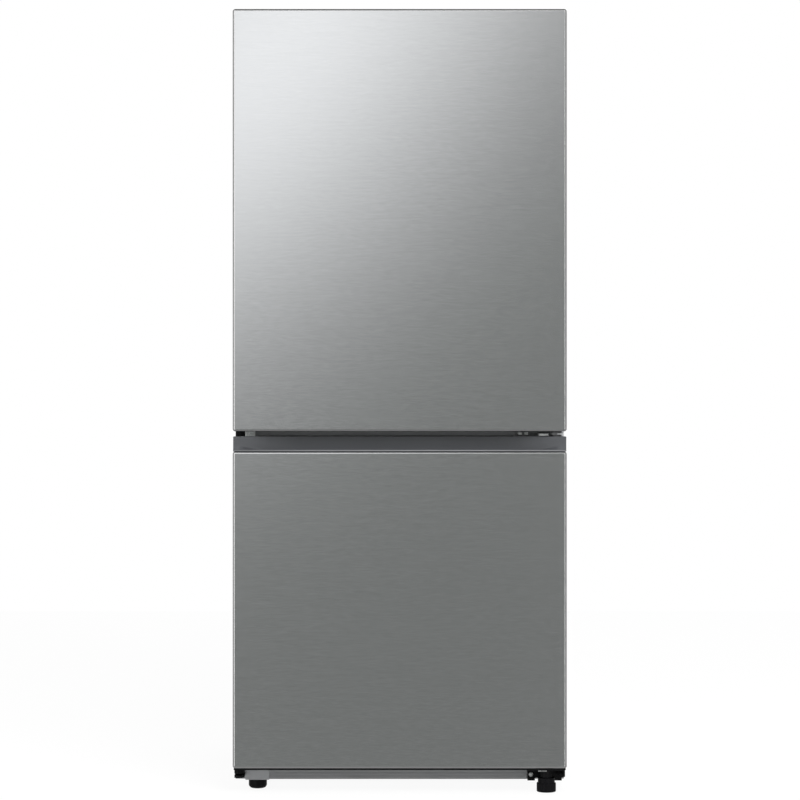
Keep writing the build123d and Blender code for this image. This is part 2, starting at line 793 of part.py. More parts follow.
def base_pan():
    x = cab_half - shell_t
    pan = block(-x, x, cab_front + shell_t, panel_back, floor_clearance, pan_top)
    half = roller_width / 2 + roller_gap + cheek_t + well_gap
    reach = cheek_half + well_gap
    wells = []
    for middle in (-roller_x, roller_x):
        span = (roller_y - reach, roller_y + reach)
        wells.append(block(middle - half, middle + half, *span, floor_clearance, pan_top))
    return pan - wells - left_stud_hole(floor_clearance, pan_top)


def front_rails():
    """Steel faces between the two openings and under the freezer's."""
    reach = liner_side_r + over

    def rail(z0, z1):
        return block(-liner_half, liner_half, cab_front, cab_front + shell_t, z0, z1) - freezer_form(0)

    mullion = rail(freezer_high - reach, fridge_low + reach) - fridge_form(0)
    return Compound(children=[mullion, rail(floor_clearance, freezer_low + reach)])


def kick_plate():
    """Grey trim under the freezer door, with shallow grooves along it."""
    face = cab_front - kick_t
    plate = block(kick_left, kick_right, face, cab_front, floor_clearance, bottom_plate_top)
    plate = fillet(plate.faces().sort_by(Axis.Y)[0].edges(), kick_round)
    pitch = (bottom_plate_top - floor_clearance) / (groove_count + 1)
    groove = block(kick_left, kick_right, face, face + groove_depth, -groove_width / 2, groove_width / 2)
    return plate - [Pos(0, 0, floor_clearance + pitch * (i + 1)) * groove for i in range(groove_count)]


def left_foot_bracket():
    """Angle that holds the left foot: one leg on the rail, one under the pan."""
    x0, x1 = kick_left - foot_bracket_width, kick_left
    low = floor_clearance - foot_sole_t
    face = block(x0, x1, cab_front - foot_bracket_t, cab_front, low, bottom_plate_top)
    sole = block(x0, x1, cab_front, left_foot_y + foot_sole_reach, low, floor_clearance)
    return face + sole - rod_z(left_foot_x, left_foot_y, low, floor_clearance, stud_r + run_clearance)


def hinge_hole_covers():
    """Blanking covers where the hinges go when the doors are hung on the left."""
    x0, x1 = -cab_half, kick_left - foot_bracket_width
    nose, low = pin_y - lower_nose, bottom_plate_z - heel_drop
    heel = block(x0, x1, nose, cab_front, low, bottom_plate_top)
    heel = fillet(heel.edges().filter_by(Axis.Z).sort_by(Axis.Y)[:2], lower_nose_r)
    heel -= block(x0, x1, nose, cab_front - heel_rear, low + heel_wall, bottom_plate_top - heel_roof)
    low, high = middle_plate_z - plug_rise, middle_plate_z + plate_t + plug_rise
    plug = block(x0, x1, cab_front - plug_t, cab_front, low, high)
    plug = fillet(plug.faces().sort_by(Axis.Y)[0].edges(), plug_t / 2)
    return Compound(children=[heel, plug])


# Hinges
def hinge_arm(half, rear, z0, z1):
    """Flat arm from the pin back to y = rear, round at the pin end."""
    arm = block(pin_x - half, pin_x + half, pin_y, rear, z0, z1)
    return arm + rod_z(pin_x, pin_y, z0, z1, half)


def top_hinge_bracket():
    z0, z1 = cab_top, cab_top + top_plate_t
    y0, y1 = cab_front + hinge_foot_start, cab_front + hinge_foot_end
    foot = rounded_up(block(pin_x - hinge_foot_left, pin_x + hinge_foot_right, y0, y1, z0, z1), hinge_foot_r)
    plate = hinge_arm(top_arm_half, (y0 + y1) / 2, z0, z1) + foot
    holes = [rod_z(x, y, z0, z1, screw_r) for x, y in top_screws]
    return plate - holes - rod_z(pin_x, pin_y, z0, z1, pin_r)


def top_hinge_cover():
    """Low plastic cover over the top hinge, higher over the screws than over the door."""
    left = pin_x - hinge_foot_left - hinge_cover_margin
    right = pin_x + hinge_foot_right + hinge_cover_margin
    rear = cab_front + hinge_foot_end + hinge_cover_margin
    nose = pin_y + hinge_cover_nose

    def hull(inset, base):
        x0, x1 = left + inset, right - inset
        low, high = cab_top + hinge_cover_low - inset, cab_top + hinge_cover_high - inset
        over_door = block(x0, x1, nose + inset, cab_front + 2 * hinge_foot_start, base, low)
        over_foot = block(x0, x1, cab_front + inset, rear - inset, base, high)
        return rounded_up(over_door, hinge_foot_r) + rounded_up(over_foot, hinge_foot_r)

    half, high = top_arm_half + hinge_cover_fit, cab_top + top_plate_t + hinge_cover_fit
    arm_way = block(pin_x - half, pin_x + half, nose, cab_front, cab_top, high)
    return hull(0, cab_top) - hull(hinge_cover_t, cab_top - over) - arm_way


def middle_hinge_bracket():
    z0, z1 = middle_plate_z, middle_plate_z + plate_t
    rear = cab_front - flange_t
    left, right = pin_x - flange_length, pin_x + hinge_arm_half
    flange = block(left, right, rear, cab_front, z0 - flange_rise, z1 + flange_rise)
    flange = fillet(flange.edges().filter_by(Axis.Y), flange_corner_r)
    web = block(pin_x - web_length, pin_x, rear - web_depth, rear, z0, z1)
    holes = [rod_y(x, rear, cab_front, middle_screw_z, screw_r) for x in middle_screws]
    return hinge_arm(hinge_arm_half, rear, z0, z1) + flange + web - holes - rod_z(pin_x, pin_y, z0, z1, pin_r)


def bottom_hinge_bracket():
    """Black lower hinge: a plate under the door, legs on the cabinet, a sleeve for the right foot."""
    z0, z1 = bottom_plate_z, bottom_plate_top
    left, rear = kick_right + corner_relief, cab_front - lower_leg_t
    low = floor_clearance - lower_ear_drop
    plate = block(left, cab_half, pin_y - lower_nose, rear, z0, z1)
    plate = fillet(plate.edges().filter_by(Axis.Z).sort_by(Axis.Y)[:2], lower_nose_r)
    leg = block(left, cab_half, rear, cab_front, low + lower_skirt, z1)
    ear_starts = [left, cab_half - lower_ear_inset - lower_ear_width]
    ears = [block(x, x + lower_ear_width, rear, cab_front, low, low + lower_skirt) for x in ear_starts]
    cheek = block(cab_half - lower_leg_t, cab_half, pin_y, rear, low + lower_skirt + cheek_rise, z0)
    sleeve = rod_z(right_foot_x, right_foot_y, shank_top + seat_clearance, z0, stud_r + sleeve_wall)
    body = plate + leg + ears + cheek + sleeve
    body -= rod_z(right_foot_x, right_foot_y, shank_top, z1, stud_r + run_clearance)
    body -= [rod_y(x, rear, cab_front, z, screw_r) for x, z in lower_screws]
    return body - rod_z(pin_x, pin_y, z0, z1, pin_r)


def hinge_pins():
    """Steel pins fixed in the three hinge plates."""
    top = rod_z(pin_x, pin_y, fridge_door_top - pin_length, cab_top + top_plate_t, pin_r)
    low, high = freezer_door_top - pin_length, fridge_door_bottom + pin_length
    middle = rod_z(pin_x, pin_y, low, high, pin_r)
    bottom = rod_z(pin_x, pin_y, bottom_plate_z, door_floor_gap + pin_length, pin_r)
    return Compound(children=[top, middle, bottom])


def screw(grip):
    """Pan-head screw: head up, shank of the given grip below the seat at z = 0."""
    head = fillet(Cylinder(screw_head_r, screw_head_t).edges().sort_by(Axis.Z)[-1], screw_round)
    slot = Box(recess_length, recess_width, 2 * recess_depth)
    head -= [Pos(0, 0, screw_head_t / 2) * Rot(0, 0, turn) * slot for turn in (0, 90)]
    return Pos(0, 0, screw_head_t / 2) * head + Pos(0, 0, -grip / 2) * Cylinder(screw_r, grip)


def hinge_screws():
    up = cab_top + top_plate_t
    screws = [Pos(x, y, up) * screw(top_plate_t) for x, y in top_screws]
    face = Rot(90, 0, 0)
    screws += [Pos(x, cab_front - flange_t, middle_screw_z) * face * screw(flange_t) for x in middle_screws]
    screws += [Pos(x, cab_front - lower_leg_t, z) * face * screw(lower_leg_t) for x, z in lower_screws]
    return Compound(children=screws)


# Feet and rollers
def front_foot_left():
    """Cup-shaped levelling foot on its stud."""
    cup = rod_z(left_foot_x, left_foot_y, 0, left_foot_height, left_foot_r)
    cup = fillet(cup.edges().sort_by(Axis.Z)[0], left_foot_round)
    return cup + rod_z(left_foot_x, left_foot_y, left_foot_height, pan_top + left_stud_rise, stud_r)


def front_foot_right():
    """Fluted knob, shank and stud under the lower hinge."""
    knob = Pos(0, 0, right_foot_height / 2) * Cylinder(right_foot_r, right_foot_height)
    knob = fillet(knob.edges(), right_foot_round)
    flute = rod_z(right_foot_r + flute_r / 2, 0, flute_start, right_foot_height + over, flute_r)
    knob -= [Rot(0, 0, 360 / flute_count * i) * flute for i in range(flute_count)]
    shank = rod_z(0, 0, right_foot_height, shank_top, shank_r)
    stud = rod_z(0, 0, shank_top, bottom_plate_top - seat_clearance, stud_r)
    return Pos(right_foot_x, right_foot_y, 0) * (knob + shank + stud)


def rear_roller(x):
    """Transport roller with its stub axles moulded on."""
    half = roller_width / 2
    tread = fillet(rod_x(x - half, x + half, roller_y, roller_r, roller_r).edges(), roller_round)
    reach = half + roller_gap + cheek_t + axle_end
    return tread + rod_x(x - reach, x + reach, roller_y, roller_r, axle_r)


def roller_brackets():
    """Hat brackets on the pan, one round each roller."""
    inner = roller_width / 2 + roller_gap
    outer = inner + cheek_t
    span = (roller_y - cheek_half, roller_y + cheek_half)
    top = 2 * roller_r + hat_rise
    brackets = []
    for x in (-roller_x, roller_x):
        hat = block(x - outer, x + outer, *span, roller_r - cheek_drop, top)
        wings = block(x - outer - wing_width, x + outer + wing_width, *span, pan_top, pan_top + wing_t)
        room = block(x - inner, x + inner, *span, 0, top - cheek_t)
        axle_hole = rod_x(x - outer, x + outer, roller_y, roller_r, axle_r + run_clearance)
        brackets.append(hat + wings - room - axle_hole)
    return Compound(children=brackets)


# Machine compartment
def compressor():
    """Hermetic pot on a mounting plate, with its terminal box and three pipe stubs."""
    z = compressor_base + sole_t
    pot = rod_z(compressor_x, machine_y, z, z + compressor_height, compressor_r)
    pot = fillet(pot.edges().sort_by(Axis.Z)[-1], compressor_dome_r)
    pot = fillet(pot.edges().sort_by(Axis.Z)[0], compressor_foot_r)
    sole = rounded_up(Box(2 * sole_half_x, 2 * sole_half_y, sole_t), compressor_foot_r)
    sole = Pos(compressor_x, machine_y, z - sole_t / 2) * sole
    near, far = machine_y - terminal_half, machine_y + terminal_half
    box_z = z + terminal_rise
    box_end = compressor_x + compressor_r + terminal_depth
    box = block(compressor_x, box_end, near, far, box_z, box_z + terminal_height)
    box = fillet(box.edges().filter_by(Axis.X), terminal_r)
    stub_end = compressor_x - compressor_r - stub_length
    stub = rod_x(stub_end, compressor_x, machine_y, z + stub_rise, stub_r)
    stubs = [Pos(0, y, 0) * stub for y in evenly(3, stub_spacing)]
    holes = [rod_z(x, y, compressor_base, z, sole_hole_r) for x, y in grommet_places]
    return pot + sole + box + stubs - holes


def compressor_grommets():
    """Rubber mounts between the pan and the compressor's plate, waisted in the middle."""
    mounts = []
    for x, y in grommet_places:
        low = rod_z(x, y, pan_top, pan_top + grommet_lip, grommet_r)
        high = rod_z(x, y, compressor_base - grommet_lip, compressor_base, grommet_r)
        mounts.append(low + high + rod_z(x, y, pan_top, compressor_base, grommet_waist_r))
    return Compound(children=mounts)


def condenser():
    """Serpentine tube held by two end plates that stand on the pan."""
    points = []
    for i in range(condenser_runs):
        z = condenser_low + condenser_pitch * i
        ends = [(condenser_x0, machine_y, z), (condenser_x1, machine_y, z)]
        points += ends if i % 2 == 0 else ends[::-1]
    path = FilletPolyline(*points, radius=condenser_bend_r)
    tube = sweep(Plane(points[0], z_dir=(1, 0, 0)) * Circle(tube_r), path=path)
    top = condenser_low + condenser_pitch * (condenser_runs - 0.5)
    near, far = machine_y - condenser_plate_half, machine_y + condenser_plate_half
    half = condenser_plate_t / 2
    for x in (condenser_x0 + condenser_plate_inset, condenser_x1 - condenser_plate_inset):
        tube += block(x - half, x + half, near, far, pan_top, top)
    return tube


def condenser_fan_frame():
    """Shroud plate with the fan motor on its arms and the motor's shaft."""
    x0, x1 = shroud_x, shroud_x + shroud_t
    ring = fan_r + shroud_gap
    plate = block(x0, x1, machine_y - shroud_half, machine_y + shroud_half, pan_top, fan_axis_z + shroud_half)
    plate = fillet(plate.edges().filter_by(Axis.X).sort_by(Axis.Z)[-2:], shroud_corner_r)
    plate -= rod_x(x0, x1, machine_y, fan_axis_z, ring)
    arm = block(x0, x1, -arm_width / 2, arm_width / 2, 0, ring + shroud_t)
    turns = [Rot(360 / shroud_arms * i, 0, 0) for i in range(shroud_arms)]
    arms = [Pos(0, machine_y, fan_axis_z) * turn * arm for turn in turns]
    motor = rod_x(x0, x0 + motor_length, machine_y, fan_axis_z, motor_r)
    shaft = rod_x(x0 - hub_gap - hub_width - shaft_end, x0, machine_y, fan_axis_z, shaft_r)
    return plate + arms + motor + shaft


def condenser_fan():
    return Pos(condenser_fan_x, machine_y, fan_axis_z) * Rot(0, -90, 0) * axial_fan()


def drain_pan():
    """Tray that catches the defrost water under the condenser."""
    x0, x1 = condenser_x0 + tray_inset, condenser_x1 - tray_inset
    y0, y1 = machine_y - tray_front, machine_y + tray_rear
    return tub(x0, x1, y0, y1, pan_top, pan_top + tray_height, tray_wall, tray_corner_r, tray_wall)


def machine_cover():
    """Rear cover of the machine compartment, slotted for air."""
    x, z0, z1 = cab_half - cover_margin, floor_clearance + cover_lift, machine_top + cover_lap
    plate = block(-x, x, panel_back, back_y, z0, z1)
    plate = fillet(plate.edges().filter_by(Axis.Y), cover_corner_r)
    rows = [z0 + louvre_rise + louvre_pitch_z * i for i in range(louvre_rows)]
    columns = evenly(louvre_columns, louvre_pitch_x)
    slots = vent_slots(columns, rows, louvre_length, louvre_height, panel_back, back_y)
    return plate - slots - rod_y(cord_x, panel_back, back_y, cord_height, gland_r)


def cord_gland():
    """Rubber gland where the mains lead leaves."""
    inside = panel_back - gland_depth
    collar = rod_y(cord_x, inside, panel_back, cord_height, gland_r + gland_collar)
    sleeve = rod_y(cord_x, panel_back, back_y, cord_height, gland_r)
    return collar + sleeve - rod_y(cord_x, inside, back_y, cord_height, gland_bore_r)


# Inside the fridge
def shelf_glass(z):
    x = cavity_half - shelf_gap
    return rounded_up(block(-x, x, shelf_front, shelf_back, z, z + glass_t), glass_corner_r)


def shelf_trims():
    """Front and rear edge trims of the glass shelves."""
    trims = []
    x = cavity_half - shelf_gap
    for z in shelf_levels:
        middle = z + glass_t / 2
        low, high = middle - trim_height / 2, middle + trim_height / 2
        front = block(-x, x, shelf_front - trim_depth + trim_cover, shelf_front + trim_cover, low, high)
        front = fillet(front.faces().sort_by(Axis.Y)[0].edges().filter_by(Axis.X), trim_round)
        rear = block(-x, x, shelf_back - trim_cover, shelf_back + rear_trim_lip, low, high + rear_trim_lip)
        trims += [front - shelf_glass(z), rear - shelf_glass(z)]
    return Compound(children=trims)


def drawer_lip(y0, z1):
    """Rolled pull along the top of a drawer front, with a finger groove."""
    x = drawer_half - drawer_corner_r
    face = y0 - drawer_lip_t
    lip = block(-x, x, face, y0 + drawer_wall, z1 - drawer_lip_height, z1)
    lip = fillet(lip.faces().sort_by(Axis.Y)[0].edges(), drawer_lip_round)
    x = drawer_grip_length / 2
    top = z1 - drawer_grip_top
    return lip - block(-x, x, face, y0 - drawer_lip_t / 4, top - drawer_grip_height, top)


def drawer(y0, y1, z0, z1):
    """Clear drawer with leaning walls and a pull along the top of its front."""
    box = tub(-drawer_half, drawer_half, y0, y1, z0, z1, drawer_wall, drawer_corner_r, drawer_draft)
    return box + drawer_lip(y0, z1)


def crisper_drawer():
    return drawer(crisper_front, crisper_back, crisper_low, crisper_high)


def air_duct():
    """Moulded cover on the fridge's back wall with a pair of vents to each shelf."""
    z0, z1 = shelf_levels[0] + duct_low_gap, fridge_ceiling - duct_high_gap
    face = cavity_back - duct_depth
    cover = block(-duct_half, duct_half, face, cavity_back, z0, z1)
    cover = fillet(cover.edges().filter_by(Axis.Y), duct_corner_r)
    cover = fillet(cover.faces().sort_by(Axis.Y)[0].edges(), duct_round)
    x, end = duct_half - 2 * duct_wall, duct_corner_r
    hollow = block(-x, x, face + duct_wall, cavity_back, z0 + end, z1 - end)
    levels = [z + duct_slot_rise for z in shelf_levels]
    slots = vent_slots([-duct_slot_x, duct_slot_x], levels, vent_length, vent_height, face, face + duct_wall)
    return cover - hollow - slots


def ceiling_lamp():
    """LED lens on the fridge's ceiling."""
    y = cab_front + lamp_setback
    lens = block(-lamp_half, lamp_half, y, y + lamp_depth, fridge_ceiling - lamp_drop, fridge_ceiling)
    lens = rounded_up(lens, lamp_corner_r)
    return fillet(lens.faces().sort_by(Axis.Z)[0].edges(), lamp_round)


# Inside the freezer
def freezer_drawer(level):
    """Freezer drawer: 0 is the short one ahead of the step, 1 and 2 run back to the evaporator cover."""
    rail = rail_rise + slide_clearance
    if level == 0:
        return drawer(drawer_front, bottom_drawer_back, freezer_floor + rail, step_floor - drawer_back_gap)
    floor = step_floor + drawer_bay * (level - 1)
    return drawer(drawer_front, drawer_back, floor + rail, floor + drawer_bay - drawer_headroom)


def evaporator():
    """Finned block with return bends, on the back wall behind the cover."""
    half = cavity_half - evaporator_inset
    low, high = step_floor + liner_corner_r + bend_tube_r, fan_z - fan_r - fan_margin
    face = cavity_back - evaporator_depth
    fins = block(-half, half, face, cavity_back, low, high)
    pitch = 2 * half / fin_count
    slot = block(-pitch / 3, pitch / 3, face, cavity_back - evaporator_web, low, high)
    fins -= [Pos(x, 0, 0) * slot for x in evenly(fin_count, pitch)]
    gap = (high - low) / bend_rows
    ring = Rot(90, 0, 0) * Torus(gap / 4, bend_tube_r)
    bend = ring & block(0, gap, -gap, gap, -gap, gap)
    for i in range(bend_rows):
        right = Pos(half, (face + cavity_back) / 2, low + gap * (i + 0.5)) * bend
        fins += [right, mirror(right, about=Plane.YZ)]
    return fins


def evaporator_cover():
    """White wall in front of the evaporator, slotted for the cold air."""
    x, z0, z1 = cavity_half - cover_fit, step_floor + cover_fit, freezer_ceiling - cover_fit
    y0, y1 = evaporator_front, evaporator_front + cover_wall
    face = fillet(block(-x, x, y0, y1, z0, z1).edges().filter_by(Axis.Y), liner_side_r)
    low, high = z0 + cover_return_end, z1 - cover_return_end
    side = block(x - cover_wall, x, y1, cavity_back - cover_return_end, low, high)
    columns = evenly(vent_columns, vent_pitch)
    rows = [fan_z + z for z in evenly(3, vent_row_pitch)] + [step_floor + low_vent_rise]
    slots = vent_slots(columns, rows, vent_length, vent_height, y0, y1)
    return face + [side, mirror(side, about=Plane.YZ)] - slots


def evaporator_fan_motor():
    """Motor on the back wall with the shaft that carries the fan."""
    body = rod_y(0, fan_motor_y, cavity_back, fan_z, motor_r)
    low, high = fan_z - motor_plate_rise, fan_z + motor_plate_rise
    plate = block(-motor_plate_half, motor_plate_half, cavity_back - motor_plate_t, cavity_back, low, high)
    plate = fillet(plate.edges().filter_by(Axis.Y), motor_plate_r)
    shaft = rod_y(0, fan_motor_y - hub_gap - hub_width - shaft_end, fan_motor_y, fan_z, shaft_r)
    return body + plate + shaft


def evaporator_fan():
    return Pos(0, evaporator_fan_y, fan_z) * Rot(90, 0, 0) * axial_fan()


# Every node by name
fridge_caps = [
    (fridge_door_bottom, fridge_door_bottom + pull_depth + pull_roof),
    (fridge_door_top - cap_height, fridge_door_top),
]
freezer_caps = [
    (door_floor_gap, door_floor_gap + cap_height),
    (freezer_panel_top - grip_root, freezer_panel_top),
]
fridge_top_cap = cap_block(fridge_door_top - cap_height, fridge_door_top, fridge_door_top)
freezer_bottom_cap = cap_block(door_floor_gap, door_floor_gap + cap_height, door_floor_gap)
fridge_bushes = [bush(fridge_door_top, cab_top), bush(fridge_door_bottom, middle_plate_z + plate_t)]
freezer_bushes = [bush(freezer_door_top, middle_plate_z), bush(door_floor_gap, bottom_plate_top)]

parts = {
    "cabinet_shell": cabinet_shell(),
    "back_panel": back_panel(),
    "base_pan": base_pan(),
    "cabinet_foam": cabinet_foam(),
    "fridge_liner": fridge_liner(),
    "freezer_liner": freezer_liner(),
    "front_rails": front_rails(),
    "kick_plate": kick_plate(),
    "left_foot_bracket": left_foot_bracket(),
    "hinge_hole_covers": hinge_hole_covers(),
    "top_hinge_bracket": top_hinge_bracket(),
    "top_hinge_cover": top_hinge_cover(),
    "middle_hinge_bracket": middle_hinge_bracket(),
    "bottom_hinge_bracket": bottom_hinge_bracket(),
    "hinge_pins": hinge_pins(),
    "hinge_screws": hinge_screws(),
    "front_foot_left": front_foot_left(),
    "front_foot_right": front_foot_right(),
    "rear_roller_left": rear_roller(-roller_x),
    "rear_roller_right": rear_roller(roller_x),
    "roller_brackets": roller_brackets(),
    "compressor": compressor(),
    "compressor_grommets": compressor_grommets(),
    "condenser": condenser(),
    "condenser_fan_frame": condenser_fan_frame(),
    "condenser_fan": condenser_fan(),
    "drain_pan": drain_pan(),
    "machine_cover": machine_cover(),
    "cord_gland": cord_gland(),
    "shelf_trims": shelf_trims(),
    "crisper_drawer": crisper_drawer(),
    "air_duct": air_duct(),
    "ceiling_lamp": ceiling_lamp(),
    "freezer_drawer_bottom": freezer_drawer(0),
    "freezer_drawer_middle": freezer_drawer(1),
    "freezer_drawer_top": freezer_drawer(2),
    "evaporator": evaporator(),
    "evaporator_cover": evaporator_cover(),
    "evaporator_fan_motor": evaporator_fan_motor(),
    "evaporator_fan": evaporator_fan(),
    "fridge_door_panel": steel_panel(fridge_door_bottom, fridge_door_top),
    "fridge_door_top_cap": fridge_top_cap - bush_hole(fridge_door_top - bush_depth, fridge_door_top),
    "fridge_door_grip_cap": fridge_grip_cap(),
    "fridge_door_foam": door_foam(fridge_door_bottom, fridge_door_top, fridge_door_top, fridge_caps),
    "fridge_door_liner": fridge_door_liner(),
    "fridge_door_gasket": gasket(fridge_door_bottom, fridge_door_top),
    "fridge_door_bushes": Compound(children=fridge_bushes),
    "freezer_door_panel": steel_panel(door_floor_gap, freezer_panel_top),
    "freezer_door_grip_cap": freezer_grip_cap(),
    "freezer_door_bottom_cap": freezer_bottom_cap - bush_hole(door_floor_gap, door_floor_gap + bush_depth),
    "freezer_door_foam": door_foam(door_floor_gap, freezer_door_top, freezer_panel_top, freezer_caps),
    "freezer_door_liner": freezer_door_liner(),
    "freezer_door_gasket": gasket(door_floor_gap, freezer_door_top),
    "freezer_door_bushes": Compound(children=freezer_bushes),
}
for number, level in enumerate(shelf_levels, 1):
    parts[f"shelf_glass_{number}"] = shelf_glass(level)
for number, level in enumerate(bin_levels, 1):
    parts[f"door_bin_{number}"] = door_bin(level)

os.makedirs("parts", exist_ok=True)
for name, shape in parts.items():
    export_step(shape, f"parts/{name}.step")
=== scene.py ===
import json
import math

import bmesh
import bpy
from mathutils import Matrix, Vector


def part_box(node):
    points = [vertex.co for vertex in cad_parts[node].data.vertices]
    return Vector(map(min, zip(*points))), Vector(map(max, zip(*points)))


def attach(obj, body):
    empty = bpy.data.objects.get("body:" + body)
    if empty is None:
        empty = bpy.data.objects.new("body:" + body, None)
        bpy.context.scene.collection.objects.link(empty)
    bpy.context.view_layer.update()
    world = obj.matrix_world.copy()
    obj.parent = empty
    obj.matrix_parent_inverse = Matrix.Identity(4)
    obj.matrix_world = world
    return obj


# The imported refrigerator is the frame. Metres; +X is the viewer's right, +Y the wall, +Z up.
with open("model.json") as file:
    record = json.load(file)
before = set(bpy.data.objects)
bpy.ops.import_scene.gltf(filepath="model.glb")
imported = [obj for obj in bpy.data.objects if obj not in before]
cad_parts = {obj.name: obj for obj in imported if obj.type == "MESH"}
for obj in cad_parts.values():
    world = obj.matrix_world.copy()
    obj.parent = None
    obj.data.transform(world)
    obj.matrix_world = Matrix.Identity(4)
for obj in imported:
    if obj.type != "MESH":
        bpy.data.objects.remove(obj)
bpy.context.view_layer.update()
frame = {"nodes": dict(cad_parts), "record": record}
front_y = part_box("fridge_door_panel")[0].y

# Camera, as in the photograph: level, square on to the doors
camera_distance = 5.0  # to the steel fronts
camera_x = 0.0006
camera_height = 0.8322
view_width = 1.6862  # across the picture, at the steel fronts
sensor = 36.0

# Lamp, surroundings and floor
fill_light = 0.62  # what the white surroundings give to matt surfaces
key_power = 170.0
key_size = 2.4
key_place = (1.4, -3.8, 3.3)
key_target = (0.0, 0.0, 0.9)
floor_half = 4.0
floor_colour = (0.9, 0.9, 0.9)
floor_roughness = 0.9
floor_white = 1.03
floor_glow = 0.9  # share of the floor's white that shadow doesn't touch

# Room that only polished things mirror: a grey wall before the doors with one soft spot
card_distance = 2.0
card_half = 3.2
card_low = -3.0
card_high = 4.2
card_grey = 0.25
card_colour = (0.965, 1.011, 0.993)
glow_colour = (0.965, 0.976, 1.003)
glow_strength = 1.42
glow_middle = (-0.395, 1.869)  # X and Z of the spot
glow_spread = (0.37, 0.8)  # across and along it
glow_turn = 0.772  # it leans to the right
strip_gap = 0.02  # strips stand this far before the wall
strip_left_x = (-3.1, -1.15)  # upright bright strips at both sides of the wall
strip_right_x = (0.95, 1.4)
shade_right_x = (0.64, 0.95)  # darker strip beside the right one
strip_top_z = (2.5, 3.1)  # level strip at the top of the wall
strip_left = 1.5
strip_right = 2.2
shade_right = 0.06
strip_top = 1.8
side_grey = 0.32  # side walls, as the rolled edges of the steel mirror them
ceiling_grey = 0.12
ground_level = -0.7
ground_split = -1.2
ground_far = 0.3
ground_near = 0.36
room_back = 3.0

# Brushed steel of the doors
steel_colour = (0.606, 0.606, 0.606)
steel_roughness = 0.25
steel_stretch = 0.45  # how far highlights are drawn out
steel_stretch_turn = 0.25
streak_cells = (60.0, 60.0, 680.0)  # per metre along X, Y and Z
streak_shade = (0.958, 1.042)
streak_roughness = (0.23, 0.272)
streak_height = 0.00001
streak_bump = 0.28
band_cells = (9.0, 9.0, 260.0)
band_shade = (0.99, 1.01)

# Screws
screw_head = 0.0045
screw_rise = 0.0022
screw_sides = 32
screw_profile = [(0.0, 0.98), (0.35, 1.0), (0.75, 0.9), (0.97, 0.7)]  # shares of rise and head
recess_arm = 0.55  # cross recess, as shares of the head
recess_half = 0.13
recess_floor = 0.45  # share of the rise
recess_taper = 0.8
cover_screw_inset = 0.012
cover_screw_share = 0.33  # inner screws, from the middle to the side
sheet_screw_inset = 0.009
sheet_screw_edge = 0.012
sheet_screw_rows = (0.42, 0.62, 0.82, 1.0)  # shares of the sheet's height

# Trims of the back
flange_t = 0.001  # plates beside the machine cover
flange_lap = 0.008
flange_top = 0.0135
shell_t = 0.001
trim_inset = 0.0065  # folded edge above the rear sheet
trim_low = 0.008
trim_t = 0.0014

# Bright rail along the top of each door bin
rail_radius = 0.0035
rail_segments = 40
rail_sides = 10
bin_bow = 0.010

# Edges of small blocks
edge_round = 0.0008
edge_share = 0.4  # at most this share of the thinnest side
edge_segments = 3

# Pieces between the doors; their heights are about the middle of the gap
stop_x = (0.294, 0.315)  # bright stop clipped to the arm of the middle hinge
stop_z = (-0.0043, 0.0012)
glint_tip_x = (0.3335, 0.3475)  # pale end of that arm, white to paint the glint there
glint_tip_z = (-0.0016, 0.0016)
glint_tip_t = 0.0012
arm_reach = 0.0556  # front of the arm before the cabinet's face
end_plate_x = (-0.330, -0.3085)  # bright plate at the left of the rail
end_plate_z = (-0.009, 0.009)
end_plate_t = 0.006
rail_cover_x = (-0.262, 0.243)
rail_cover_z = (-0.0047, 0.009)
rail_cover_t = 0.0015
rail_shade_strip_x = (-0.303, 0.243)  # black strip under that cover, painted shade for the shadow line there
rail_shade_strip_z = (-0.0085, -0.0047)
rail_shade_strip_t = 0.0012

# Pieces of the bottom hinge
foot_stop_x = (0.293, 0.3115)  # bright stop in its front edge
foot_stop_z = (0.0446, 0.0478)
foot_stop_t = 0.004
foot_stop_proud = 0.0004
screw_cap_place = (0.3405, -0.272, 0.036)  # black cap over its right screw
screw_cap_radius = 0.0062
screw_cap_rise = 0.0042
screw_cap_rings = 7
screw_cap_sides = 32

# Pieces of the freezer door
highlight_bead_radius = 0.0006  # light bead along the lip of the grip, paler than the grip to paint the lip's edge highlight
highlight_bead_drop = 0.0292  # below the top of the grip
highlight_bead_inset = 0.002
shade_strip_inset = 0.002  # black strip underneath, its black painted shade for the line under the door
shade_strip_start = 0.006
shade_strip_depth = 0.024
shade_strip_drop = 0.004


# Shader helpers
def set_socket(tree, socket, value):
    """Links a socket to an output, or gives it a plain value."""
    if isinstance(value, bpy.types.NodeSocket):
        tree.links.new(value, socket)
    else:
        socket.default_value = value


def add_node(tree, kind, **inputs):
    """A shader node with its named inputs set or linked."""
    node = tree.nodes.new("ShaderNode" + kind)
    for name, value in inputs.items():
        set_socket(tree, node.inputs[name.replace("_", " ")], value)
    return node


def add_numbered(tree, kind, *values):
    """A shader node with its inputs set or linked in their order."""
    node = tree.nodes.new("ShaderNode" + kind)
    for socket, value in zip(node.inputs, values):
        set_socket(tree, socket, value)
    return node


def add_math(tree, operation, *values):
    node = add_numbered(tree, "Math", *values)
    node.operation = operation
    return node.outputs["Value"]


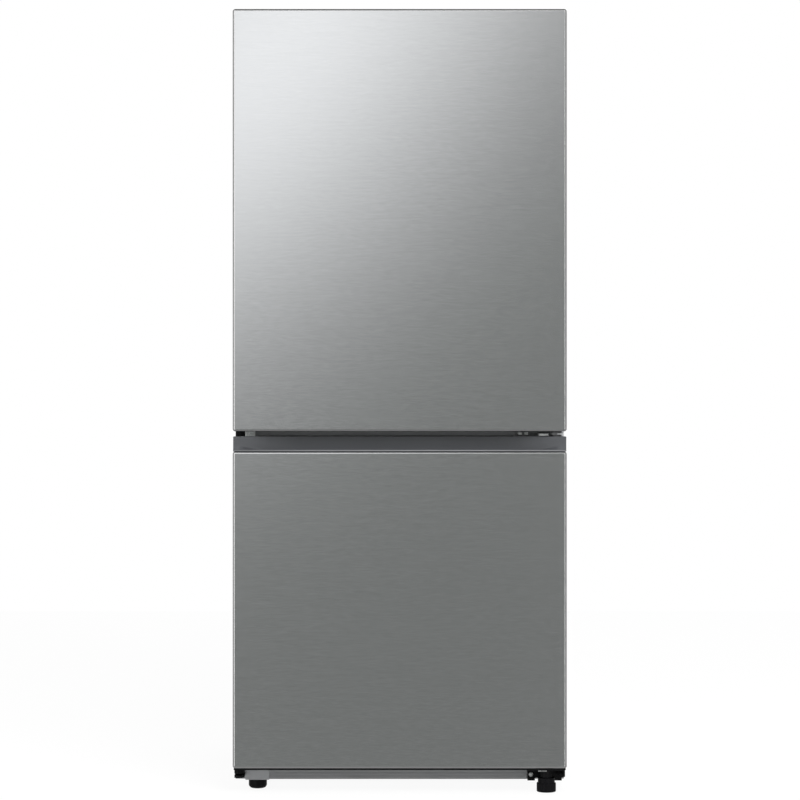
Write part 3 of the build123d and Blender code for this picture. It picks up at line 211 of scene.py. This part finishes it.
class Surface:
    """A procedural material round one Principled shader, with noise measured in cells per metre."""

    def __init__(self, name, colour, roughness, **sockets):
        self.material = bpy.data.materials.new(name)
        self.material.use_nodes = True
        self.tree = self.material.node_tree
        self.shader = self.tree.nodes["Principled BSDF"]
        self.colour = colour
        self.normal = None
        self.shader.inputs["Base Color"].default_value = (*colour, 1.0)
        self.shader.inputs["Roughness"].default_value = roughness
        for socket, value in sockets.items():
            self.shader.inputs[socket.replace("_", " ")].default_value = value

    def add(self, kind, **inputs):
        return add_node(self.tree, kind, **inputs)

    def place(self, per_metre):
        """Object coordinates, stretched to that many cells per metre along X, Y and Z."""
        where = self.add("TexCoord").outputs["Object"]
        return self.add("Mapping", Vector=where, Scale=per_metre).outputs["Vector"]

    def noise(self, per_metre, detail):
        where = self.place(per_metre)
        return self.add("TexNoise", Vector=where, Scale=1.0, Detail=detail).outputs["Fac"]

    def cells(self, per_metre):
        """Flat random grey in each cell."""
        node = self.add("TexVoronoi", Vector=self.place(per_metre), Scale=1.0)
        return self.add("SeparateColor", Color=node.outputs["Color"]).outputs["Red"]

    def height_share(self, low, high):
        """0 at z = low, 1 at z = high."""
        where = self.add("TexCoord").outputs["Object"]
        z = self.add("SeparateXYZ", Vector=where).outputs["Z"]
        return self.add("MapRange", Value=z, From_Min=low, From_Max=high).outputs["Result"]

    def ranged(self, factor, low, high, start=0.3, end=0.7):
        """Spreads the part of a factor that noise mostly fills over two values."""
        spread = {"From_Min": start, "From_Max": end, "To_Min": low, "To_Max": high}
        return self.add("MapRange", Value=factor, **spread).outputs["Result"]

    def tint(self, factor, dark, light):
        """Shades the colour between two shares of itself, on top of what is there."""
        share = self.ranged(factor, dark, light)
        base = self.shader.inputs["Base Color"]
        node = self.add("VectorMath", Vector=self.colour)
        node.operation = "SCALE"
        if base.is_linked:
            self.tree.links.new(base.links[0].from_socket, node.inputs["Vector"])
        self.tree.links.new(share, node.inputs["Scale"])
        self.tree.links.new(node.outputs["Vector"], base)
        return self

    def sheen(self, factor, low, high):
        """Lets the roughness wander between two values."""
        self.tree.links.new(self.ranged(factor, low, high), self.shader.inputs["Roughness"])
        return self

    def bump(self, factor, height, strength=1.0):
        """Raises the surface by up to that height, in metres, on top of earlier bumps."""
        node = self.add("Bump", Height=factor, Distance=height, Strength=strength)
        if self.normal:
            self.tree.links.new(self.normal, node.inputs["Normal"])
        self.normal = node.outputs["Normal"]
        self.tree.links.new(self.normal, self.shader.inputs["Normal"])
        return self


def even(count):
    """The same number of cells per metre along all three axes."""
    return (count, count, count)


# Materials
def door_steel():
    """Brushed sheet: fine streaks along X, highlights drawn out across them."""
    stretch = {"Anisotropic": steel_stretch, "Anisotropic_Rotation": steel_stretch_turn}
    steel = Surface("door_steel", steel_colour, steel_roughness, Metallic=1.0, **stretch)
    tangent = steel.add("Tangent")
    tangent.direction_type = "RADIAL"
    tangent.axis = "Z"
    steel.tree.links.new(tangent.outputs["Tangent"], steel.shader.inputs["Tangent"])
    streaks = steel.noise(streak_cells, detail=3.0)
    bands = steel.noise(band_cells, detail=2.0)
    steel.tint(streaks, *streak_shade).tint(bands, *band_shade)
    steel.sheen(streaks, *streak_roughness)
    return steel.bump(streaks, streak_height, streak_bump).material


def painted(name, colour, roughness, **sockets):
    """Stoved paint on sheet steel: orange peel, and a little dust towards the floor."""
    paint = Surface(name, colour, roughness, Coat_Roughness=0.2, **sockets)
    peel = paint.noise(even(420.0), detail=2.0)
    cloud = paint.noise(even(7.0), detail=3.0)
    paint.tint(cloud, dark=0.97, light=1.03)
    paint.tint(paint.height_share(low=0.0, high=0.3), dark=0.96, light=1.0)
    paint.sheen(cloud, low=roughness - 0.05, high=roughness + 0.06)
    return paint.bump(peel, height=0.00003, strength=0.5).material


def moulded(name, colour, roughness, **sockets):
    """Injection-moulded plastic with a spark-eroded grain."""
    plastic = Surface(name, colour, roughness, IOR=1.5, **sockets)
    grain = plastic.noise(even(1500.0), detail=3.0)
    cloud = plastic.noise(even(14.0), detail=3.0)
    plastic.tint(grain, dark=0.94, light=1.06).tint(cloud, dark=0.96, light=1.04)
    plastic.sheen(cloud, low=roughness - 0.05, high=roughness + 0.07)
    return plastic.bump(grain, height=0.00004, strength=0.6).material


def formed(name, colour, roughness):
    """Vacuum-formed sheet: glossy, with slow waves and a faint skin."""
    sheet = Surface(name, colour, roughness, IOR=1.52, Coat_Weight=0.2, Coat_Roughness=0.12)
    waves = sheet.noise(even(11.0), detail=0.0)
    skin = sheet.noise(even(900.0), detail=2.0)
    sheet.tint(waves, dark=0.992, light=1.006)
    sheet.sheen(skin, low=roughness - 0.03, high=roughness + 0.04)
    return sheet.bump(waves, height=0.0001).bump(skin, height=0.00003, strength=0.5).material


def zinc_coated():
    """Galvanised sheet with its spangle."""
    sheet = Surface("galvanised", (0.62, 0.64, 0.65), roughness=0.42, Metallic=0.85)
    spangle = sheet.cells(even(75.0))
    smear = sheet.noise((60.0, 60.0, 6.0), detail=3.0)
    sheet.tint(spangle, dark=0.9, light=1.03).tint(smear, dark=0.95, light=1.03)
    sheet.sheen(spangle, low=0.39, high=0.46)
    return sheet.bump(smear, height=0.00003, strength=0.5).material


def bare_metal(name, colour, roughness, lines):
    """Plated or drawn metal with fine marks."""
    metal = Surface(name, colour, roughness, Metallic=1.0)
    marks = metal.noise(lines, detail=3.0)
    cloud = metal.noise(even(30.0), detail=2.0)
    metal.tint(marks, dark=0.9, light=1.05).tint(cloud, dark=0.93, light=1.04)
    metal.sheen(marks, low=roughness - 0.06, high=roughness + 0.1)
    return metal.bump(marks, height=0.00002, strength=0.4).material


def rubber(name, colour):
    """Soft vinyl or rubber: matt, a little chalky."""
    skin = Surface(name, colour, roughness=0.62, IOR=1.48, Sheen_Weight=0.15)
    chalk = skin.noise(even(60.0), detail=3.0)
    pores = skin.noise(even(1300.0), detail=2.0)
    skin.tint(chalk, dark=0.96, light=1.04)
    skin.sheen(chalk, low=0.54, high=0.72)
    return skin.bump(pores, height=0.00003, strength=0.6).material


def clear(name, colour, roughness, ior):
    """Clear plastic or glass with faint smears."""
    pane = Surface(name, colour, roughness, IOR=ior, Transmission_Weight=1.0)
    smears = pane.noise((14.0, 20.0, 14.0), detail=3.0)
    pane.tint(smears, dark=0.97, light=1.0)
    return pane.sheen(smears, low=roughness, high=roughness + 0.06).material


def foam():
    """Rigid foam with open pores."""
    block = Surface("foam", (0.86, 0.8, 0.6), roughness=0.85)
    pores = block.cells(even(500.0))
    block.tint(pores, dark=0.85, light=1.05)
    return block.bump(pores, height=0.0003, strength=0.7).material


def lamp_lens():
    """Frosted lens that glows a little."""
    glow = {"Emission_Color": (1.0, 0.97, 0.92, 1.0), "Emission_Strength": 0.6}
    lens = Surface("lamp", (0.95, 0.95, 0.93), roughness=0.35, **glow)
    frost = lens.noise(even(800.0), detail=2.0)
    lens.tint(frost, dark=0.96, light=1.02)
    return lens.bump(frost, height=0.00005, strength=0.6).material


# One material for each slot of the record: colour, then roughness
materials = {
    "cabinet_paint": painted("cabinet_paint", (0.46, 0.47, 0.48), 0.4, Coat_Weight=0.15),
    "galvanised": zinc_coated(),
    "foam": foam(),
    "liner_white": formed("liner_white", (0.86, 0.87, 0.88), 0.24),
    "door_steel": door_steel(),
    "grip_grey": moulded("grip_grey", (0.067, 0.07, 0.076), 0.5),
    "cap_grey": moulded("cap_grey", (0.3, 0.305, 0.31), 0.42),
    "kick_grey": moulded("kick_grey", (0.3, 0.305, 0.31), 0.45),
    "black_metal": painted("black_metal", (0.006, 0.006, 0.007), 0.45, Specular_IOR_Level=0.2),
    "black_plastic": moulded("black_plastic", (0.005, 0.005, 0.006), 0.5, Specular_IOR_Level=0.15),
    "zinc": bare_metal("zinc", (0.72, 0.73, 0.72), 0.3, lines=even(220.0)),
    "gasket_grey": rubber("gasket_grey", (0.5, 0.51, 0.52)),
    "black_rubber": rubber("black_rubber", (0.03, 0.03, 0.03)),
    "nylon": moulded("nylon", (0.16, 0.16, 0.165), 0.4),
    "clear_plastic": clear("clear_plastic", (0.955, 0.975, 0.985), 0.06, ior=1.49),
    "shelf_glass": clear("shelf_glass", (0.88, 0.96, 0.94), 0.02, ior=1.52),
    "shelf_trim": moulded("shelf_trim", (0.66, 0.68, 0.7), 0.3),
    "lamp": lamp_lens(),
    "copper": bare_metal("copper", (0.72, 0.4, 0.26), 0.28, lines=even(300.0)),
    "aluminium": bare_metal("aluminium", (0.78, 0.79, 0.8), 0.32, lines=(8.0, 8.0, 500.0)),
}


def dress(piece, slot):
    """Gives a piece its only material."""
    piece.data.materials.clear()
    piece.data.materials.append(materials[slot])


slot_of = {entry["node"]: entry["material_slot"] for entry in frame["record"]["subparts"]}
for node, slot in slot_of.items():
    dress(frame["nodes"][node], slot)
dress(frame["nodes"]["middle_hinge_bracket"], "cap_grey")


# Mesh helpers
def add_piece(name, mesh, slot, body):
    """A new piece of the object, in the frame's own place, riding on a body."""
    piece = bpy.data.objects.new(name, mesh)
    bpy.context.scene.collection.objects.link(piece)
    dress(piece, slot)
    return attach(piece, body)


def finish_mesh(build, name, smooth=True):
    """Mesh of a finished build, with its faces turned outwards."""
    bmesh.ops.recalc_face_normals(build, faces=build.faces)
    mesh = bpy.data.meshes.new(name)
    for face in build.faces:
        face.smooth = smooth
    build.to_mesh(mesh)
    build.free()
    return mesh


def skin_rings(build, rings):
    """Joins rings of points by faces and caps the two ends."""
    made = [[build.verts.new(p) for p in ring] for ring in rings]
    count = len(rings[0])
    for low, high in zip(made, made[1:]):
        for i in range(count):
            j = (i + 1) % count
            build.faces.new((low[i], low[j], high[j], high[i]))
    build.faces.new(made[0][::-1])
    build.faces.new(made[-1])


def stood_at(rings, place, facing):
    """Rings moved from z = 0 to a place, with their axis turned to face one way."""
    turn = Vector((0, 0, 1)).rotation_difference(Vector(facing)).to_matrix()
    return [[Vector(place) + turn @ p for p in ring] for ring in rings]


def cross_reach(turn, arm, half):
    """Distance from the middle to the edge of a cross, in one direction."""
    c = max(abs(math.cos(turn)), 1e-6)
    s = max(abs(math.sin(turn)), 1e-6)
    return max(min(arm / c, half / s), min(half / c, arm / s))


def screw_rings():
    """Rings of a pan-head screw with a cross recess, standing on z = 0."""
    turns = [math.tau * (i + 0.5) / screw_sides for i in range(screw_sides)]
    cross = [cross_reach(t, screw_head * recess_arm, screw_head * recess_half) for t in turns]

    def ring(up, reaches):
        z = screw_rise * up
        return [Vector((r * math.cos(t), r * math.sin(t), z)) for t, r in zip(turns, reaches)]

    rings = [ring(up, [screw_head * out] * screw_sides) for up, out in screw_profile]
    rings.append(ring(1.0, cross))
    rings.append(ring(recess_floor, [reach * recess_taper for reach in cross]))
    return rings


def add_screws(name, places, facing, slot, body):
    """One piece of pan-head screws at those places, with their heads facing one way."""
    build = bmesh.new()
    for place in places:
        skin_rings(build, stood_at(screw_rings(), place, facing))
    return add_piece(name, finish_mesh(build, name), slot, body)


def add_block(name, low, high, slot, body):
    """Small block with rounded edges."""
    build = bmesh.new()
    bmesh.ops.create_cube(build, size=1.0)
    low, high = Vector(low), Vector(high)
    for corner in build.verts:
        corner.co = (low + high) / 2 + Vector(a * b for a, b in zip(corner.co, high - low))
    offset = min(edge_round, edge_share * min(high - low))
    edges = build.edges[:]
    rounding = {"segments": edge_segments, "profile": 0.5, "affect": "EDGES"}
    bmesh.ops.bevel(build, geom=edges, offset=offset, **rounding)
    return add_piece(name, finish_mesh(build, name, smooth=False), slot, body)


def dome_rings(radius, rise, count, sides):
    """Rings of a low dome that stands on z = 0."""
    turns = [math.tau * k / sides for k in range(sides)]
    rings = []
    for i in range(count):
        t = math.pi / 2 * i / count
        reach, z = radius * math.cos(t), rise * math.sin(t)
        rings.append([Vector((reach * math.cos(a), reach * math.sin(a), z)) for a in turns])
    return rings


def tube_along(path, radius, sides):
    """Rings of a tube along a path that runs level."""
    rings = []
    for i, middle in enumerate(path):
        ahead = path[min(i + 1, len(path) - 1)] - path[max(i - 1, 0)]
        ahead.normalize()
        across = ahead.cross(Vector((0, 0, 1))).normalized()
        ring = []
        for k in range(sides):
            t = math.tau * k / sides
            up = Vector((0, 0, radius * math.sin(t)))
            ring.append(middle + across * radius * math.cos(t) + up)
        rings.append(ring)
    return rings


def add_tube(name, path, radius, slot, body):
    build = bmesh.new()
    skin_rings(build, tube_along(path, radius, rail_sides))
    return add_piece(name, finish_mesh(build, name), slot, body)


# Details
def rear_screws():
    """Screws of the machine cover and along the edges of the rear sheet."""
    low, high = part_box("machine_cover")
    xs = [low.x + cover_screw_inset, low.x * cover_screw_share]
    xs += [high.x * cover_screw_share, high.x - cover_screw_inset]
    cover = [(x, high.y, high.z - cover_screw_inset / 2) for x in xs]
    cover += [(x, high.y, low.z + cover_screw_inset) for x in xs]
    add_screws("machine_cover_screws", cover, (0, 1, 0), "zinc", "cabinet")
    low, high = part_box("back_panel")
    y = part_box("cabinet_shell")[1].y
    edge = []
    for x in (low.x + sheet_screw_edge, high.x - sheet_screw_edge):
        edge += [(x, y, high.z * share - sheet_screw_inset) for share in sheet_screw_rows]
    add_screws("rear_sheet_screws", edge, (0, 1, 0), "zinc", "cabinet")


def rear_trims():
    """Plates that close the sides of the machine cover, and the folded edge above the rear sheet."""
    shell_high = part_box("cabinet_shell")[1]
    cover_low, cover_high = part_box("machine_cover")
    y = cover_low.y
    inner, outer = cover_high.x - flange_lap, shell_high.x - shell_t
    for name, x in (("left", (-outer, -inner)), ("right", (inner, outer))):
        low = (x[0], y - flange_t, cover_low.z)
        high = (x[1], y, cover_high.z - flange_top)
        add_block(f"machine_flange_{name}", low, high, "galvanised", "cabinet")
    half = shell_high.x - trim_inset
    low = (-half, y - shell_t, shell_high.z - trim_low)
    high = (half, y - shell_t + trim_t, shell_high.z - shell_t)
    add_block("rear_top_fold", low, high, "cabinet_paint", "cabinet")


def bin_rail(number):
    """Bright rail along the bowed front edge of a door bin."""
    low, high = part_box(f"door_bin_{number}")
    half = (high.x - low.x) / 2 - 2 * rail_radius
    radius = (half * half + bin_bow * bin_bow) / (2 * bin_bow)
    sweep = math.asin(half / radius)
    path = []
    for i in range(rail_segments + 1):
        t = -sweep + 2 * sweep * i / rail_segments
        y = high.y - radius + radius * math.cos(t)
        path.append(Vector((radius * math.sin(t), y, high.z)))
    add_tube(f"bin_rail_{number}", path, rail_radius, "zinc", "fridge_door")


def gap_pieces():
    """What shows between the doors: hinge pieces, a white tip that paints a glint, an end plate, the
    rail's cover, and a black strip of painted shade under it.
    """
    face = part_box("cabinet_shell")[0].y
    middle = (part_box("freezer_door_grip_cap")[1].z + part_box("fridge_door_panel")[0].z) / 2

    def piece(name, x, z, reach, slot, back=0.0):
        low = (x[0], face - reach, middle + z[0])
        high = (x[1], face - back, middle + z[1])
        add_block(name, low, high, slot, "cabinet")

    piece("middle_hinge_stop", stop_x, stop_z, arm_reach, "zinc")
    # white tip: its pale colour paints the glint at the end of the hinge arm
    piece("middle_hinge_glint_tip", glint_tip_x, glint_tip_z, arm_reach, "liner_white", arm_reach - glint_tip_t)
    piece("rail_end_plate", end_plate_x, end_plate_z, end_plate_t, "zinc")
    piece("rail_cover", rail_cover_x, rail_cover_z, rail_cover_t, slot_of["front_rails"])
    # black strip of painted shade: the line of shadow under the rail's cover
    piece("rail_shade_strip", rail_shade_strip_x, rail_shade_strip_z, rail_shade_strip_t, "black_plastic")


def bottom_hinge_pieces():
    """Bright stop in the front edge of the bottom hinge, and the cap over its right screw."""
    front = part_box("bottom_hinge_bracket")[0].y
    low = (foot_stop_x[0], front - foot_stop_proud, foot_stop_z[0])
    high = (foot_stop_x[1], front + foot_stop_t, foot_stop_z[1])
    add_block("bottom_hinge_stop", low, high, "zinc", "cabinet")
    dome = dome_rings(screw_cap_radius, screw_cap_rise, screw_cap_rings, screw_cap_sides)
    build = bmesh.new()
    skin_rings(build, stood_at(dome, screw_cap_place, (0, -1, 0)))
    name = "bottom_hinge_screw_cap"
    add_piece(name, finish_mesh(build, name), "black_plastic", "cabinet")


def grip_highlight_bead():
    """Light bead along the lip of the freezer door's grip: a rounded edge, in a grey paler than the
    grip that paints its highlight.
    """
    low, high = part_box("freezer_door_grip_cap")
    ends = (low.x + highlight_bead_inset, high.x - highlight_bead_inset)
    path = [Vector((x, low.y, high.z - highlight_bead_drop)) for x in ends]
    # cap_grey is paler than the grip: the bead paints the highlight along the lip
    add_tube("freezer_grip_highlight_bead", path, highlight_bead_radius, "cap_grey", "freezer_door")


def freezer_shade_strip():
    """Black strip under the freezer door's bottom edge: a thin piece, black to paint the line of shade
    beneath the door.
    """
    low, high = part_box("freezer_door_panel")
    start = (low.x + shade_strip_inset, low.y + shade_strip_start, low.z - shade_strip_drop)
    end = (high.x - shade_strip_inset, low.y + shade_strip_start + shade_strip_depth, low.z)
    # black strip: painted shade along the underside of the freezer door
    add_block("freezer_door_shade_strip", start, end, "black_plastic", "freezer_door")


rear_screws()
rear_trims()
gap_pieces()
bottom_hinge_pieces()
grip_highlight_bead()
freezer_shade_strip()
for number in (1, 2, 3):
    bin_rail(number)


# Studio: floor, room for the steel to mirror, lamp, white surroundings
def seen_directly(tree):
    """1 for what the camera sees, also in metal or through glass, and 0 for light on matt surfaces."""
    path = add_node(tree, "LightPath")
    share = path.outputs["Is Camera Ray"]
    for ray in ("Is Glossy Ray", "Is Transmission Ray"):
        share = add_math(tree, "MAXIMUM", share, path.outputs[ray])
    return share


def plane_piece(name, corners):
    """A four-sided sheet of the studio."""
    mesh = bpy.data.meshes.new(name)
    mesh.from_pydata(corners, [], [(0, 1, 2, 3)])
    plane = bpy.data.objects.new(name, mesh)
    bpy.context.scene.collection.objects.link(plane)
    return plane


def stage_tree(plane):
    """Node tree of a new material on a sheet of the studio."""
    matter = bpy.data.materials.new(plane.name)
    matter.use_nodes = True
    plane.data.materials.append(matter)
    return matter.node_tree


def show(tree, shader, output="Material Output"):
    tree.links.new(shader, tree.nodes[output].inputs["Surface"])


def make_floor():
    """Pale floor: mostly an even white, so that only a faint shadow stays."""
    f = floor_half
    floor = plane_piece("floor", level_sheet(f, -f, f, 0.0))
    floor.visible_glossy = False
    tree = stage_tree(floor)
    matt = tree.nodes["Principled BSDF"]
    matt.inputs["Base Color"].default_value = (*floor_colour, 1.0)
    matt.inputs["Roughness"].default_value = floor_roughness
    matt.inputs["Specular IOR Level"].default_value = 0.0
    glow = add_node(tree, "Emission", Strength=floor_white)
    share = add_math(tree, "MULTIPLY", seen_directly(tree), floor_glow)
    both = (matt.outputs["BSDF"], glow.outputs["Emission"])
    show(tree, add_numbered(tree, "MixShader", share, *both).outputs["Shader"])


def mirror_only(plane):
    """Leaves a stage piece to be seen in polished things alone."""
    plane.visible_camera = False
    plane.visible_diffuse = False
    plane.visible_transmission = False
    plane.visible_shadow = False


def glow_tree(plane):
    """Node tree of a sheet that only polished things see, without its first shader."""
    mirror_only(plane)
    tree = stage_tree(plane)
    tree.nodes.remove(tree.nodes["Principled BSDF"])
    return tree


def plain_card(name, corners, strength):
    """Evenly lit card."""
    tree = glow_tree(plane_piece(name, corners))
    show(tree, add_node(tree, "Emission", Strength=strength).outputs["Emission"])


def upright(x0, x1, y, z0, z1):
    """Corners of an upright card that faces the doors."""
    return [(x0, y, z0), (x1, y, z0), (x1, y, z1), (x0, y, z1)]


def sideways(x, y0, y1, z0, z1):
    """Corners of an upright card that faces sideways."""
    return [(x, y0, z0), (x, y1, z0), (x, y1, z1), (x, y0, z1)]


def level_sheet(half, y0, y1, z):
    """Corners of a level card."""
    return [(-half, y0, z), (half, y0, z), (half, y1, z), (-half, y1, z)]


def make_room():
    """Bright strips and calm walls that the rolled edges of the steel mirror."""
    front, back, w = front_y - card_distance, room_back, card_half
    y = front + strip_gap
    plain_card("strip_left", upright(*strip_left_x, y, card_low, card_high), strip_left)
    plain_card("strip_right", upright(*strip_right_x, y, card_low, card_high), strip_right)
    plain_card("shade_right", upright(*shade_right_x, y, card_low, card_high), shade_right)
    plain_card("strip_top", upright(-w, w, y, *strip_top_z), strip_top)
    for name, x in (("side_left", -w), ("side_right", w)):
        plain_card(name, sideways(x, front, back, card_low, card_high), side_grey)
    plain_card("ceiling", level_sheet(w, front, back, card_high), ceiling_grey)
    plain_card("ground_far", level_sheet(w, front, ground_split, ground_level), ground_far)
    plain_card("ground_near", level_sheet(w, ground_split, back, ground_level), ground_near)


def make_card():
    """Grey wall behind the camera, with one soft spot that fades as a bell curve."""
    y = front_y - card_distance
    wall = upright(-card_half, card_half, y, card_low, card_high)
    tree = glow_tree(plane_piece("studio_wall", wall))
    spot = add_node(tree, "Mapping", Vector=add_node(tree, "TexCoord").outputs["Object"])
    spot.vector_type = "TEXTURE"
    spot.inputs["Location"].default_value = (glow_middle[0], y, glow_middle[1])
    spot.inputs["Rotation"].default_value = (0.0, glow_turn, 0.0)
    spot.inputs["Scale"].default_value = (glow_spread[0], 1.0, glow_spread[1])
    away = spot.outputs["Vector"]
    square = add_numbered(tree, "VectorMath", away, away)
    square.operation = "DOT_PRODUCT"
    bell = add_math(tree, "EXPONENT", add_math(tree, "MULTIPLY", square.outputs["Value"], -0.5))
    level = add_math(tree, "MULTIPLY", bell, glow_strength)
    grey = add_node(tree, "Emission", Color=(*card_colour, 1.0), Strength=card_grey)
    glow = add_node(tree, "Emission", Color=(*glow_colour, 1.0), Strength=level)
    both = (grey.outputs["Emission"], glow.outputs["Emission"])
    show(tree, add_numbered(tree, "AddShader", *both).outputs["Shader"])


def make_key():
    """Soft lamp from the upper right; the steel mirrors the room instead of it."""
    data = bpy.data.lights.new("key", "AREA")
    data.shape = "SQUARE"
    data.size = key_size
    data.energy = key_power
    lamp = bpy.data.objects.new("key", data)
    lamp.location = key_place
    aim = Vector(key_target) - Vector(key_place)
    lamp.rotation_euler = aim.to_track_quat("-Z", "Y").to_euler()
    lamp.visible_glossy = False
    lamp.visible_camera = False
    bpy.context.scene.collection.objects.link(lamp)


def make_world():
    """White all round to the eye, a calmer fill to matt surfaces."""
    world = bpy.data.worlds.new("surroundings")
    bpy.context.scene.world = world
    world.use_nodes = True
    tree = world.node_tree
    fill = tree.nodes["Background"]
    fill.inputs["Color"].default_value = (1.0, 1.0, 1.0, 1.0)
    fill.inputs["Strength"].default_value = fill_light
    white = add_node(tree, "Background", Color=(1.0, 1.0, 1.0, 1.0))
    both = (fill.outputs["Background"], white.outputs["Background"])
    mix = add_numbered(tree, "MixShader", seen_directly(tree), *both)
    show(tree, mix.outputs["Shader"], "World Output")


def make_camera():
    data = bpy.data.cameras.new("camera")
    data.sensor_width = sensor
    data.lens = sensor * camera_distance / view_width
    camera = bpy.data.objects.new("camera", data)
    camera.location = (camera_x, front_y - camera_distance, camera_height)
    camera.rotation_euler = (math.pi / 2, 0.0, 0.0)
    bpy.context.scene.collection.objects.link(camera)
    bpy.context.scene.camera = camera


make_floor()
make_card()
make_room()
make_key()
make_world()
make_camera()
bpy.context.scene.view_settings.view_transform = "Standard"
